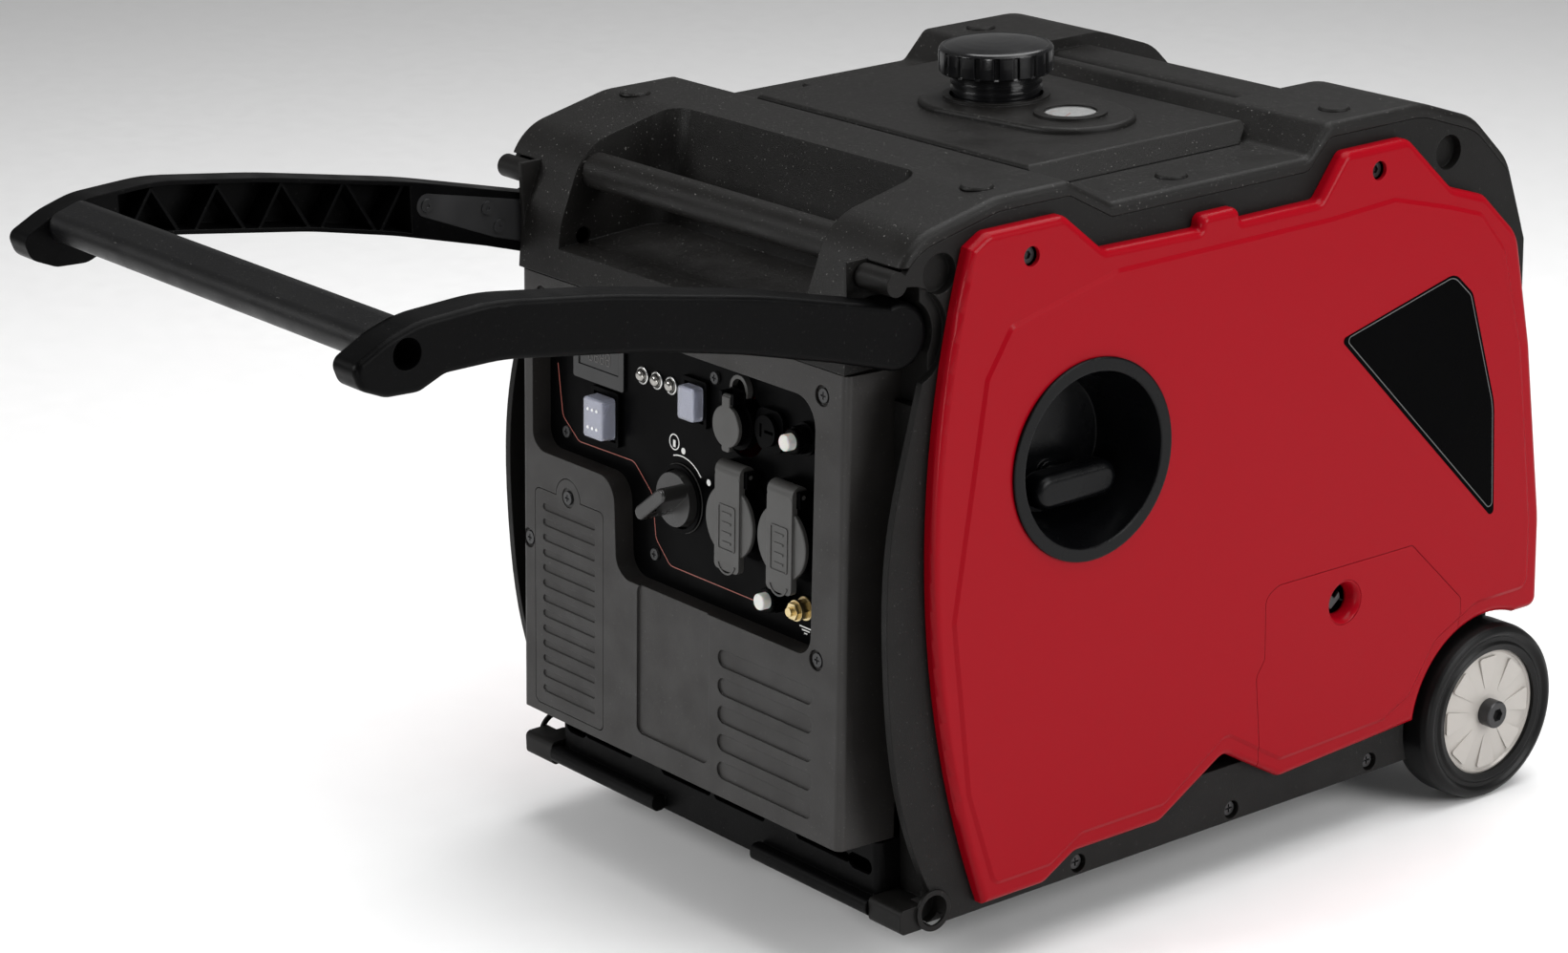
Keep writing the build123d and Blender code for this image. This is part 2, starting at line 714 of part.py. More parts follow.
# ---------------------------------------------------------------- painted side covers and door
COVER_IN = FRAME_X + 0.2
COVER_RIM = 5.5  # rounding of a cover's outer edge
FIELD_RISE = 1.6  # raised middle field of a cover
FIELD = [
    (-208, 62),
    (-158, 62),
    (-131, 77),
    (-57, 77),
    (0, 112),
    (50, 81),
    (150, 84),
    (176, 96),
    (201, 131),
    (241, 149),
    (294, 149),
    (294, 200),
    (279, 330),
    (260, 404),
    (235, 434),
    (205, 444),
    (150, 459),
    (90, 456),
    (-100, 456),
    (-190, 436),
    (-211, 405),
    (-240, 250),
    (-229, 130),
]
with BuildPart() as cover_blank:
    with BuildSketch(side(COVER_IN)):
        with BuildLine():
            cover_outline()
        make_face()
    extrude(amount=COVER_X - COVER_IN - FIELD_RISE)
    fillet(cover_blank.faces().sort_by(Axis.X)[-1].edges(), COVER_RIM)
    with BuildSketch(side(COVER_X - FIELD_RISE)):
        with BuildLine():
            rounded(FIELD, 9)
        make_face()
    extrude(amount=FIELD_RISE, taper=60)
    with BuildSketch(side(COVER_IN)):
        with BuildLine():
            cover_outline()
        make_face()
        offset(amount=-WALL)
    extrude(amount=COVER_X - COVER_IN - FIELD_RISE - WALL, mode=Mode.SUBTRACT)

with BuildPart() as side_cover_right:
    add(cover_blank.part)
    with BuildSketch(side(COVER_IN)):
        with BuildLine():
            door_outline()
        make_face()
        offset(amount=0.4)
        with Locations((BOWL_Y, BOWL_Z)):
            Circle(61.5)
        with Locations(COVER_SCREWS):
            Circle(6.5)
    extrude(amount=20, mode=Mode.SUBTRACT)

VENTS = [(-60 + 20 * i, 300) for i in range(8)]
with BuildPart() as cover_left_shape:
    add(cover_blank.part)
    with BuildSketch(side(COVER_IN)):
        with Locations(COVER_SCREWS):
            Circle(6.5)
        for y, z in VENTS:
            with Locations(Location((y, z), 80)):
                SlotOverall(90, 7)
    extrude(amount=20, mode=Mode.SUBTRACT)

with BuildPart() as side_cover_left:
    mirror(cover_left_shape.part, about=Plane.YZ)

with BuildPart() as maintenance_door:
    add(cover_blank.part)
    with BuildSketch(side(COVER_IN)):
        with BuildLine():
            door_outline()
        make_face()
        with Locations((109, 182)):
            Circle(16, mode=Mode.SUBTRACT)
    extrude(amount=20, mode=Mode.INTERSECT)

# ---------------------------------------------------------------- recoil starter bowl and grip
BOWL_AXIS = Axis((0, MID_Y + BOWL_Y, BOWL_Z), (1, 0, 0))
BOWL_FLOOR = 172.0
GRIP_Y, GRIP_Z = -120.0, 311.5
with BuildPart() as recoil_bowl:
    with BuildSketch(level(BOWL_Z)):
        with Locations((0, BOWL_Y)):
            polygon([
                (BOWL_FLOOR, 0),
                (BOWL_FLOOR, 49),
                (COVER_X + 0.2, 61),
                (COVER_X + 0.2, BOWL_R),
                (COVER_X + 2.4, BOWL_R),
                (COVER_X + 2.4, 58.5),
                (BOWL_FLOOR + WALL, 46),
                (BOWL_FLOOR + WALL, 0),
            ])
    revolve(axis=BOWL_AXIS)
    fillet(recoil_bowl.faces().sort_by(Axis.X)[-1].edges(), 0.8)
    with BuildSketch(side(BOWL_FLOOR)):
        with Locations((GRIP_Y, GRIP_Z)):
            Circle(11)
    extrude(amount=6)
    with BuildSketch(side(BOWL_FLOOR - 1)):
        with Locations((GRIP_Y, GRIP_Z)):
            Circle(4)
    extrude(amount=20, mode=Mode.SUBTRACT)

with BuildPart() as recoil_grip:
    with BuildSketch(side(BOWL_FLOOR + 14)):
        with Locations((GRIP_Y, GRIP_Z)):
            SlotOverall(70, 24)
    extrude(amount=20)
    fillet(recoil_grip.faces().filter_by(Axis.X).edges(), 6)
    with BuildSketch(side(BOWL_FLOOR + 6.3)):
        with Locations((GRIP_Y, GRIP_Z)):
            Circle(8)
    extrude(amount=12, taper=-12)

# ---------------------------------------------------------------- base tray, feet, rear panel
TRAY_X = 177.5
with BuildPart() as base_tray:
    with BuildSketch(level(BASE_Z)):
        with Locations((0, 10)):
            RectangleRounded(2 * TRAY_X, 556, 6)
    extrude(amount=48)
    with BuildSketch(level(BASE_Z + WALL)):
        with Locations((0, 10)):
            RectangleRounded(2 * (TRAY_X - WALL), 550, 4)
    extrude(amount=60, mode=Mode.SUBTRACT)
    for hand in (-1, 1):
        with BuildSketch(side(hand * 116.2)):
            with Locations((-273, 52)):
                RectangleRounded(12, 12, 5)
        extrude(amount=61.2, both=True)
    with BuildSketch(facing(-270)):
        with Locations((-159, 75), (159, 75)):
            SlotOverall(24, 11)
        with Locations((-120, 75), (-30, 75), (30, 75), (120, 75)):
            SlotOverall(56, 7)
    extrude(amount=-6, mode=Mode.SUBTRACT)
    with BuildSketch(side(-200)):
        with Locations((WHEEL_Y, WHEEL_Z)):
            Circle(AXLE_R)
    extrude(amount=400, mode=Mode.SUBTRACT)
    with BuildSketch(level(BASE_Z - 1)):
        for y in (-60, 0, 60, 120):
            with Locations((0, y)):
                SlotOverall(120, 8)
    extrude(amount=6, mode=Mode.SUBTRACT)

FOOT_X, FOOT_Y = 85.0, -150.0
with BuildPart() as front_feet:
    with BuildSketch(level(0)):
        with Locations((-FOOT_X, FOOT_Y), (FOOT_X, FOOT_Y)):
            Circle(17)
    extrude(amount=BASE_Z, taper=-4)
    fillet(front_feet.faces().group_by(Axis.Z)[0].edges(), 3)

PIPE_X, PIPE_Z = 85.0, 265.0
with BuildPart() as rear_panel:
    with BuildSketch(facing(288)):
        with Locations((0, 254.5)):
            RectangleRounded(352, 315, 4)
    extrude(amount=6)
    with BuildSketch(facing(288.5)):
        with Locations((0, 254.5)):
            RectangleRounded(346, 309, 3)
    extrude(amount=3.5, mode=Mode.SUBTRACT)
    with BuildSketch(facing(290)):
        for i in range(9):
            with Locations((-80, 130 + 18 * i)):
                SlotOverall(140, 8)
        for i in range(4):
            with Locations((PIPE_X, 340 + 14 * i)):
                SlotOverall(110, 6)
        with Locations((PIPE_X, PIPE_Z)):
            Circle(20)
    extrude(amount=10, mode=Mode.SUBTRACT)

# ---------------------------------------------------------------- tow handle
ARM_LINE = [
    (-271, 460),
    (-370, 485.5),
    (-480, 507),
    (-560, 518.5),
    (-612, 516),
    (-635, 509),
    (-658, 497),
    (-653, 483),
    (-636, 475.5),
    (-614, 474.5),
    (-596, 482),
    (-555, 482),
    (-450, 465.5),
    (-385, 451),
    (-314, 431.5),
    (-274, 419),
]
ARM_RIM = 4.0  # rounding of an arm's outer edges
ARM_RADII = [600, 600, 150, 60, 60, 7, 10, 15, 15, 15, 150, 300, 300, 300]
BAR_Y, BAR_Z, BAR_TILT = -623.0, 503.0, 17.8
BRACKET = [(PIVOT_Y, PIVOT_Z, 15), (-301, 447, 12), (-310, 455, 9), (-358, 467, 8)]
BRACKET_HOLES = [(-358, 467), (-310, 457), (-301, 443)]
PIN_R = 6.0


def arm_outline():
    """Side outline of a handle arm: cast knuckle in front, rounded end at the pivot."""
    FilletPolyline(*ARM_LINE, radius=ARM_RADII)
    ThreePointArc(ARM_LINE[-1], (PIVOT_Y + 22, PIVOT_Z), ARM_LINE[0])




def rib(a, b):
    """Straight rib between two points of a side sketch."""
    lean = degrees(atan2(b[1] - a[1], b[0] - a[0]))
    with Locations(Location(((a[0] + b[0]) / 2, (a[1] + b[1]) / 2), lean)):
        Rectangle(hypot(b[0] - a[0], b[1] - a[1]), 2.4)


RIB_ENDS = [(-588 + 24 * i, 517 - 3.2 * i if i % 2 else 478 - 3.2 * i) for i in range(10)]


def handle_arm(hand):
    """Handle arm on the right (hand 1) or left (hand -1): a channel open to the inside, with ribs."""
    inner = side(hand * ARM_IN)
    with BuildPart() as ribs:
        with BuildSketch(inner.offset(hand * 2)):
            for a, b in zip(RIB_ENDS, RIB_ENDS[1:]):
                rib(a, b)
        extrude(amount=hand * (ARM_OUT - ARM_IN - 4))
        with BuildSketch(inner.offset(hand * 2)):
            with BuildLine():
                arm_outline()
            make_face()
            offset(amount=-1)
        extrude(amount=hand * (ARM_OUT - ARM_IN - 4), mode=Mode.INTERSECT)
    with BuildPart() as arm:
        with BuildSketch(inner):
            with BuildLine():
                arm_outline()
            make_face()
        extrude(amount=hand * (ARM_OUT - ARM_IN))
        fillet(arm.faces().sort_by(Axis.X)[-1 if hand > 0 else 0].edges(), ARM_RIM)
        with BuildSketch(inner):
            with BuildLine():
                arm_outline()
            make_face()
            offset(amount=-WALL)
            with Locations((-660, 490), (-300, 440)):
                Rectangle(142, 140, mode=Mode.SUBTRACT)
        extrude(amount=hand * (ARM_OUT - ARM_IN - WALL), mode=Mode.SUBTRACT)
        with BuildSketch(inner):
            for y, z, r in BRACKET:
                with Locations((y, z)):
                    Circle(r + 0.2)
            make_hull()
        extrude(amount=hand * 3, mode=Mode.SUBTRACT)
        with BuildSketch(inner):
            with Locations((PIVOT_Y, PIVOT_Z)):
                Circle(PIN_R + RUN)
        extrude(amount=hand * 18, mode=Mode.SUBTRACT)
        with BuildSketch(inner):
            with Locations(BRACKET_HOLES):
                Circle(2.3)
        extrude(amount=hand * 14, mode=Mode.SUBTRACT)
        with BuildSketch(side(hand * (ARM_OUT - 18))):
            with Locations((-622, 499)):
                Circle(9.5)
        extrude(amount=hand * 30, mode=Mode.SUBTRACT)
        add(ribs.part)
    return arm


handle_arm_right = handle_arm(1)
handle_arm_left = handle_arm(-1)

with BuildPart() as handle_crossbar:
    with BuildSketch(side(-ARM_IN)):
        with Locations(Location((BAR_Y, BAR_Z), BAR_TILT)):
            RectangleRounded(33, 20, 9.4)
    extrude(amount=2 * ARM_IN)

with BuildPart() as bracket_right:
    with BuildSketch(side(ARM_IN + 0.3)):
        for y, z, r in BRACKET:
            with Locations((y, z)):
                Circle(r)
        make_hull()
        with Locations((PIVOT_Y, PIVOT_Z)):
            Circle(PIN_R + RUN, mode=Mode.SUBTRACT)
        with Locations(BRACKET_HOLES):
            Circle(2.3, mode=Mode.SUBTRACT)
    extrude(amount=2.5)

with BuildPart() as handle_brackets:
    add(bracket_right.part)
    mirror(bracket_right.part, about=Plane.YZ)

with BuildPart() as arm_screws:
    with BuildSketch(side(ARM_IN - 1)):
        with Locations(BRACKET_HOLES):
            Circle(4.6)
    extrude(amount=1.3)
    with BuildSketch(side(ARM_IN - 1)):
        with Locations(BRACKET_HOLES):
            Circle(2.2)
    extrude(amount=14)
    with BuildSketch(side(ARM_IN - 1)):
        with Locations(BRACKET_HOLES):
            RegularPolygon(1.6, 6)
    extrude(amount=0.8, mode=Mode.SUBTRACT)

with BuildPart() as bracket_screws:
    add(arm_screws.part)
    mirror(arm_screws.part, about=Plane.YZ)

with BuildPart() as pivot_right:
    with BuildSketch(side(PIVOT_WALL - 4)):
        with Locations((PIVOT_Y, PIVOT_Z)):
            Circle(10)
    extrude(amount=4)
    with BuildSketch(side(PIVOT_WALL - 4)):
        with Locations((PIVOT_Y, PIVOT_Z)):
            Circle(PIN_R)
    extrude(amount=197 - PIVOT_WALL + 4)

with BuildPart() as handle_pivots:
    add(pivot_right.part)
    mirror(pivot_right.part, about=Plane.YZ)

# ---------------------------------------------------------------- wheels and axle
TYRE_IN, TYRE_OUT = 190.0, 226.0
RIM_R = 46.0
HUB_AXIS = Axis((0, MID_Y + WHEEL_Y, WHEEL_Z), (1, 0, 0))
SWIRLS = 8
SWIRL_EDGE = [(17, -3), (41, -9), (41, 9), (17, 3)]  # raised sector of the disc, from the hub centre
with BuildPart() as swirl:
    with BuildSketch(side(217)):
        with Locations((WHEEL_Y, WHEEL_Z)):
            polygon(SWIRL_EDGE)
    extrude(amount=5)
    fillet(swirl.edges().filter_by(Axis.X), 2)

with BuildPart() as wheel_disc_right:
    with BuildSketch(level(WHEEL_Z)):
        with Locations((0, WHEEL_Y)):
            polygon([
                (TYRE_IN + 2, AXLE_R + RUN),
                (TYRE_IN + 2, 14),
                (216.5, 16),
                (216.5, 40),
                (TYRE_IN + 4, 43),
                (TYRE_IN + 4, RIM_R),
                (221, RIM_R),
                (221.4, 44.6),
                (220, 43.4),
                (TYRE_OUT - 3.8, 13),
                (TYRE_OUT - 3.8, AXLE_R + RUN),
            ])
    revolve(axis=HUB_AXIS)
    for i in range(SWIRLS):
        add(swirl.part.rotate(HUB_AXIS, i * 360 / SWIRLS))

with BuildPart() as wheel_disc_left:
    mirror(wheel_disc_right.part, about=Plane.YZ)

TYRE_MID = (TYRE_IN + TYRE_OUT) / 2
TYRE_HALF = [(10, WHEEL_R), (16, 63), (18, 58.5), (15.6, 55.2), (15.6, 52.6), (17.2, 50.5), (16, RIM_R)]
TYRE_LINE = TYRE_HALF + [(-x, r) for x, r in reversed(TYRE_HALF)]
TYRE_RADII = [8, 4, 3, 0.8, 0.8, 1.2, 0] + [0, 1.2, 0.8, 0.8, 3, 4, 8]
with BuildPart() as tyre_right:
    with BuildSketch(level(WHEEL_Z)):
        with BuildLine():
            rounded([(TYRE_MID + x, WHEEL_Y + r) for x, r in TYRE_LINE], TYRE_RADII)
        make_face()
    revolve(axis=HUB_AXIS)

with BuildPart() as tyre_left:
    mirror(tyre_right.part, about=Plane.YZ)

with BuildPart() as axle:
    with BuildSketch(side(-TYRE_OUT + 3.8)):
        with Locations((WHEEL_Y, WHEEL_Z)):
            Circle(AXLE_R)
    extrude(amount=2 * (TYRE_OUT - 3.8))

with BuildPart() as bolt_right:
    with BuildSketch(side(TYRE_OUT - 3.5)):
        with Locations((WHEEL_Y, WHEEL_Z)):
            Circle(10)
    extrude(amount=9.5)
    fillet(bolt_right.faces().sort_by(Axis.X)[-1].edges(), 1.5)
    with BuildSketch(side(TYRE_OUT + 2)):
        with Locations((WHEEL_Y, WHEEL_Z)):
            RegularPolygon(5, 6)
    extrude(amount=10, mode=Mode.SUBTRACT)
    with BuildSketch(side(TYRE_OUT - 3.8)):
        with Locations((WHEEL_Y, WHEEL_Z)):
            Circle(6)
    extrude(amount=1)

with BuildPart() as hub_bolts:
    add(bolt_right.part)
    mirror(bolt_right.part, about=Plane.YZ)

# ---------------------------------------------------------------- fuel tank, neck and cap
NECK_R, BORE_R = 30.0, 22.0
NECK_TOP = 543.0
with BuildPart() as tank_space:
    with BuildSketch(level(405)):
        with Locations((0, -10)):
            RectangleRounded(284, 170, 21)
    extrude(amount=78)
    fillet(tank_space.faces().filter_by(Axis.Z).edges(), 9)

with BuildPart() as fuel_tank:
    with BuildSketch(level(402)):
        with Locations((0, -10)):
            RectangleRounded(290, 176, 24)
    extrude(amount=84)
    fillet(fuel_tank.faces().filter_by(Axis.Z).edges(), 12)
    add(tank_space.part, mode=Mode.SUBTRACT)
    with BuildSketch(level(480)):
        with Locations((CAP_X, CAP_Y)):
            Circle(BORE_R)
    extrude(amount=10, mode=Mode.SUBTRACT)

with BuildPart() as fuel_neck:
    with BuildSketch(level(486)):
        with Locations((CAP_X, CAP_Y)):
            Circle(NECK_R)
    extrude(amount=NECK_TOP - 486)
    for z in (519, 524, 529):
        with BuildSketch(level(z)):
            with Locations((CAP_X, CAP_Y)):
                Circle(NECK_R + 1.6)
        extrude(amount=2)
    with BuildSketch(level(480)):
        with Locations((CAP_X, CAP_Y)):
            Circle(BORE_R)
    extrude(amount=80, mode=Mode.SUBTRACT)

with BuildPart() as cap_gasket:
    with BuildSketch(level(NECK_TOP + 0.3)):
        with Locations((CAP_X, CAP_Y)):
            Circle(31)
            Circle(23, mode=Mode.SUBTRACT)
    extrude(amount=2)

CAP_FOOT, CAP_SIDE, CAP_TOP = 531.5, 548.0, 553.0
KNURLS = 18
with BuildPart() as fuel_cap:
    with BuildSketch(level(CAP_FOOT)):
        with Locations((CAP_X, CAP_Y)):
            Circle(CAP_R)
    extrude(amount=CAP_TOP - CAP_FOOT)
    fillet(fuel_cap.faces().sort_by(Axis.Z)[-1].edges(), 4.5)
    with BuildSketch(level(CAP_FOOT - 1)):
        with Locations((CAP_X, CAP_Y)):
            with PolarLocations(CAP_R + 0.8, KNURLS):
                Circle(2.2)
    extrude(amount=CAP_SIDE - CAP_FOOT, mode=Mode.SUBTRACT)
    with BuildSketch(level(CAP_FOOT - 1)):
        with Locations((CAP_X, CAP_Y)):
            Circle(33)
    extrude(amount=NECK_TOP + 2.6 - CAP_FOOT + 1, mode=Mode.SUBTRACT)

# ---------------------------------------------------------------- engine, alternator, starter pulley
CRANK = (0, SHAFT_Z)
with BuildPart() as engine:
    with BuildSketch(facing(0)):
        with Locations((0, 222)):
            RectangleRounded(140, 284, 18)
    extrude(amount=-110)
    fillet(engine.edges().filter_by(GeomType.LINE).group_by(Axis.Y)[-1], 6)
    for i in range(10):
        with BuildSketch(side(-78 - 8 * i)):
            with Locations((55, 290)):
                RectangleRounded(96, 100, 10)
        extrude(amount=-3)
    with BuildSketch(side(-70)):
        with Locations((55, 290)):
            Circle(34)
    extrude(amount=-95)
    for x in (-50, 50):
        with BuildSketch(level(BASE_Z + WALL)):
            with Locations((x, 20), (x, 90)):
                Circle(14)
        extrude(amount=34)
    with BuildSketch(facing(-106)):
        with Locations(CRANK):
            Circle(85)
            Circle(82, mode=Mode.SUBTRACT)
    extrude(amount=-106)
    with BuildSketch(facing(-110)):
        with Locations(CRANK):
            Circle(85)
    extrude(amount=-4)
    with BuildSketch(facing(-134)):
        with Locations(CRANK):
            Circle(6)
    extrude(amount=-26)
    with BuildSketch(facing(-1)):
        with Locations(CRANK):
            Circle(12.4)
    extrude(amount=-62, mode=Mode.SUBTRACT)

with BuildPart() as alternator_stator:
    with BuildSketch(facing(-58)):
        with Locations(CRANK):
            Circle(60)
            Circle(25, mode=Mode.SUBTRACT)
            with PolarLocations(60, 12):
                Rectangle(26, 8, mode=Mode.SUBTRACT)
    extrude(amount=-38)
    with BuildSketch(facing(-58)):
        with Locations(CRANK):
            Circle(30)
            Circle(20, mode=Mode.SUBTRACT)
    extrude(amount=-58)

with BuildPart() as rotor:
    with BuildSketch(facing(-100)):
        with Locations(CRANK):
            Circle(12)
    extrude(amount=-158)
    with BuildSketch(facing(-76)):
        with Locations(CRANK):
            Circle(76)
    extrude(amount=-6)
    with BuildSketch(facing(-70)):
        with Locations(CRANK):
            Circle(76)
            Circle(66, mode=Mode.SUBTRACT)
    extrude(amount=-55)
    with BuildSketch(facing(-96)):
        with Locations(CRANK):
            with PolarLocations(48, 12):
                Rectangle(40, 3)
    extrude(amount=-21)

PULLEY_R = 44.0
with BuildPart() as recoil_pulley:
    with BuildSketch(facing(-129)):
        with Locations(CRANK):
            Circle(PULLEY_R)
    extrude(amount=-12)
    with BuildSketch(facing(-126)):
        with Locations(CRANK):
            Circle(PULLEY_R + 1)
            Circle(PULLEY_R - 8, mode=Mode.SUBTRACT)
    extrude(amount=-6, mode=Mode.SUBTRACT)
    with BuildSketch(facing(-135)):
        with Locations(CRANK):
            Circle(6 + RUN)
            with PolarLocations(24, 6):
                Circle(7)
    extrude(amount=-30, mode=Mode.SUBTRACT)

with BuildPart() as inverter_module:
    with BuildSketch(facing(-180)):
        with Locations((-55, 155)):
            RectangleRounded(190, 90, 4)
    extrude(amount=46)
    with BuildSketch(facing(-180)):
        for i in range(16):
            with Locations((-142.5 + 11.5 * i, 155)):
                Rectangle(2.4, 86)
    extrude(amount=-14)
    with BuildSketch(level(BASE_Z + WALL)):
        with Locations((-130, -205), (20, -205)):
            Rectangle(12, 30)
    extrude(amount=64)

with BuildPart() as battery:
    with BuildSketch(level(BASE_Z + WALL)):
        with Locations((105, -200)):
            RectangleRounded(90, 76, 3)
    extrude(amount=96)
    with BuildSketch(level(BASE_Z + WALL + 96)):
        with Locations((75, -225), (135, -225)):
            Rectangle(12, 12)
    extrude(amount=8)

with BuildPart() as muffler:
    with BuildSketch(facing(150)):
        with Locations((PIPE_X, PIPE_Z)):
            RectangleRounded(130, 130, 30)
    extrude(amount=-118)
    fillet(muffler.edges().filter_by(Axis.Y, reverse=True), 6)
    with BuildSketch(facing(260)):
        with Locations((PIPE_X, PIPE_Z)):
            Circle(15)
    extrude(amount=-42)
    with BuildSketch(facing(282)):
        with Locations((PIPE_X, PIPE_Z)):
            Circle(12.5)
    extrude(amount=-30, mode=Mode.SUBTRACT)
    with BuildSketch(facing(110.5)):
        with Locations((PIPE_X - 25, PIPE_Z)):
            Circle(12)
    extrude(amount=-44)

with BuildPart() as air_filter_box:
    with BuildSketch(level(120)):
        with Locations((122, 30)):
            RectangleRounded(76, 100, 8)
    extrude(amount=110)
    fillet(air_filter_box.faces().sort_by(Axis.Z)[-1].edges(), 4)
    with BuildSketch(level(BASE_Z + WALL)):
        with Locations((122, 30)):
            Rectangle(40, 60)
    extrude(amount=72)

# ---------------------------------------------------------------- screws of the fixed housing
PLATE_SCREWS = [(-143, 301), (-41, 239), (24, 376), (85.7, 316)]
with BuildPart() as side_screws:
    with BuildSketch(side(FRAME_X)):
        with Locations(COVER_SCREWS):
            Circle(5.6)
    extrude(amount=6)
    with BuildSketch(side(FRAME_X - 6)):
        with Locations(STRIP_SCREWS):
            Circle(5)
    extrude(amount=3)
    with BuildSketch(side(FRAME_X - 4.5)):
        with Locations(STRIP_SCREWS):
            Rectangle(6, 1.2)
            Rectangle(1.2, 6)
    extrude(amount=3, mode=Mode.SUBTRACT)
    with BuildSketch(side(FRAME_X + 4)):
        with Locations(COVER_SCREWS):
            RegularPolygon(3, 6)
    extrude(amount=3, mode=Mode.SUBTRACT)

with BuildPart() as housing_screws:
    add(side_screws.part)
    mirror(side_screws.part, about=Plane.YZ)
    for spots, depth, r in ((PANEL_SCREWS, 2.5, 5), ([(-122, 261)], 1, 5), (PLATE_SCREWS, PLATE_DEPTH, 4.4)):
        with BuildSketch(panel(depth)):
            with Locations(spots):
                Circle(r)
        extrude(amount=1.8, taper=12)
        with BuildSketch(panel(depth - 0.8)):
            with Locations(spots):
                Rectangle(r, 1.1)
                Rectangle(1.1, r)
        extrude(amount=2, mode=Mode.SUBTRACT)

# ---------------------------------------------------------------- export
PIECES = {
    "base_tray": base_tray,
    "side_frame_right": side_frame_right,
    "side_frame_left": side_frame_left,
    "top_cover": top_cover,
    "tank_deck": tank_deck,
    "front_panel": front_panel,
    "control_plate": control_plate,
    "side_cover_right": side_cover_right,
    "side_cover_left": side_cover_left,
    "maintenance_door": maintenance_door,
    "recoil_bowl": recoil_bowl,
    "service_door": service_door,
    "rear_panel": rear_panel,
    "grab_bar": grab_bar,
    "trim_plugs": trim_plugs,
    "housing_screws": housing_screws,
    "battery": battery,
    "front_feet": front_feet,
    "handle_arm_right": handle_arm_right,
    "handle_arm_left": handle_arm_left,
    "handle_crossbar": handle_crossbar,
    "handle_brackets": handle_brackets,
    "bracket_screws": bracket_screws,
    "handle_pivots": handle_pivots,
    "wheel_disc_right": wheel_disc_right,
    "wheel_disc_left": wheel_disc_left,
    "tyre_right": tyre_right,
    "tyre_left": tyre_left,
    "axle": axle,
    "hub_bolts": hub_bolts,
    "fuel_tank": fuel_tank,
    "fuel_neck": fuel_neck,
    "fuel_cap": fuel_cap,
    "cap_gasket": cap_gasket,
    "gauge_lens": gauge_lens,
    "switch_housings": switch_housings,
    "start_rocker": start_rocker,
    "start_boot": start_boot,
    "eco_rocker": eco_rocker,
    "eco_boot": eco_boot,
    "display_window": display_window,
    "indicator_lamps": indicator_lamps,
    "fuel_dial": fuel_dial,
    "schuko_sockets": schuko_sockets,
    "schuko_lid_left": schuko_lid_left,
    "schuko_lid_right": schuko_lid_right,
    "dc_outlets": dc_outlets,
    "outlet_cap": outlet_cap,
    "breaker_bodies": breaker_bodies,
    "dc_breaker_button": dc_breaker_button,
    "ac_breaker_button": ac_breaker_button,
    "ground_terminal": ground_terminal,
    "engine": engine,
    "alternator_stator": alternator_stator,
    "rotor": rotor,
    "recoil_pulley": recoil_pulley,
    "recoil_grip": recoil_grip,
    "inverter_module": inverter_module,
    "muffler": muffler,
    "air_filter_box": air_filter_box,
}
for name, piece in PIECES.items():
    piece.part.label = name
    export_step(piece.part, f"parts/{name}.step")
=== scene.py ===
"""Looks of the closed inverter generator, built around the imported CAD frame. Metres, +Z up.

Places on the object are in mm. side_point, panel_point and door_point turn them into world points.
"""

import math

import bmesh
import bpy
from mathutils import Matrix, Vector


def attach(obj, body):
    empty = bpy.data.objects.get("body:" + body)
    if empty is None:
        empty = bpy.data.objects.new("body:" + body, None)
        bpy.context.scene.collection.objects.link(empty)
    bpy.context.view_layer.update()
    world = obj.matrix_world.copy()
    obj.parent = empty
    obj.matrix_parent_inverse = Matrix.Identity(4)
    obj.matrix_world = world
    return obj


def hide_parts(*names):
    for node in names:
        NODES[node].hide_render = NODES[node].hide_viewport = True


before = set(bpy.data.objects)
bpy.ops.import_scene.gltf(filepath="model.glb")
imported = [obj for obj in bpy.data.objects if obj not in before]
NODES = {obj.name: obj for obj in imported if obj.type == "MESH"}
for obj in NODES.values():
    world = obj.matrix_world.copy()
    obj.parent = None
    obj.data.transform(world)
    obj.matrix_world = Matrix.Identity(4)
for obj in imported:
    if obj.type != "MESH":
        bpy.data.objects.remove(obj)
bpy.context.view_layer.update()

# ---------------------------------------------------------------- shared positions, mm
MM = 0.001
MID_Y = 169.0  # body middle behind the origin
LEAN = math.radians(2.5)  # lean of the front panel
PANEL_Y = -304.2  # front panel face where it would meet the ground
COVER_X = 222.0  # crown of the side covers
PLATE = 15.0  # control plate below the panel face
PRINT = PLATE - 0.18  # top of the printed marks
START = (-96, 322.5)  # start switch
DIAL = (-13, 285)  # fuel dial
LAMPS = [(-56, 360), (-40, 360), (-24, 360)]
BREAKERS = [(120, 357), (96, 245)]
LID_X = {"left": 58.2, "right": 113.2}  # mains socket lids
LID_FACE = PLATE - 12 - 4.6  # outer face of the mains socket lids
STRAP_EYE = (54, 375.5)  # eye of the outlet cap's strap
DOOR_LATCH = (109, 182)
GAUGE_X, GAUGE_Z = 64.0, 511.0
CAP_X, CAP_Y = -12.0, 0.0


def side_point(x, y, z):
    """World point of a place in mm, with y from the body middle."""
    return Vector((x * MM, (y + MID_Y) * MM, z * MM))


def panel_point(x, z, depth=0.0):
    """World point on the leaning front panel, `depth` mm behind its face."""
    y = PANEL_Y + z * math.sin(LEAN) + depth * math.cos(LEAN)
    return Vector((x * MM, (y + MID_Y) * MM, (z * math.cos(LEAN) - depth * math.sin(LEAN)) * MM))


def door_point(y, z, x):
    """World point in the maintenance door, with depth along X."""
    return side_point(x, y, z)


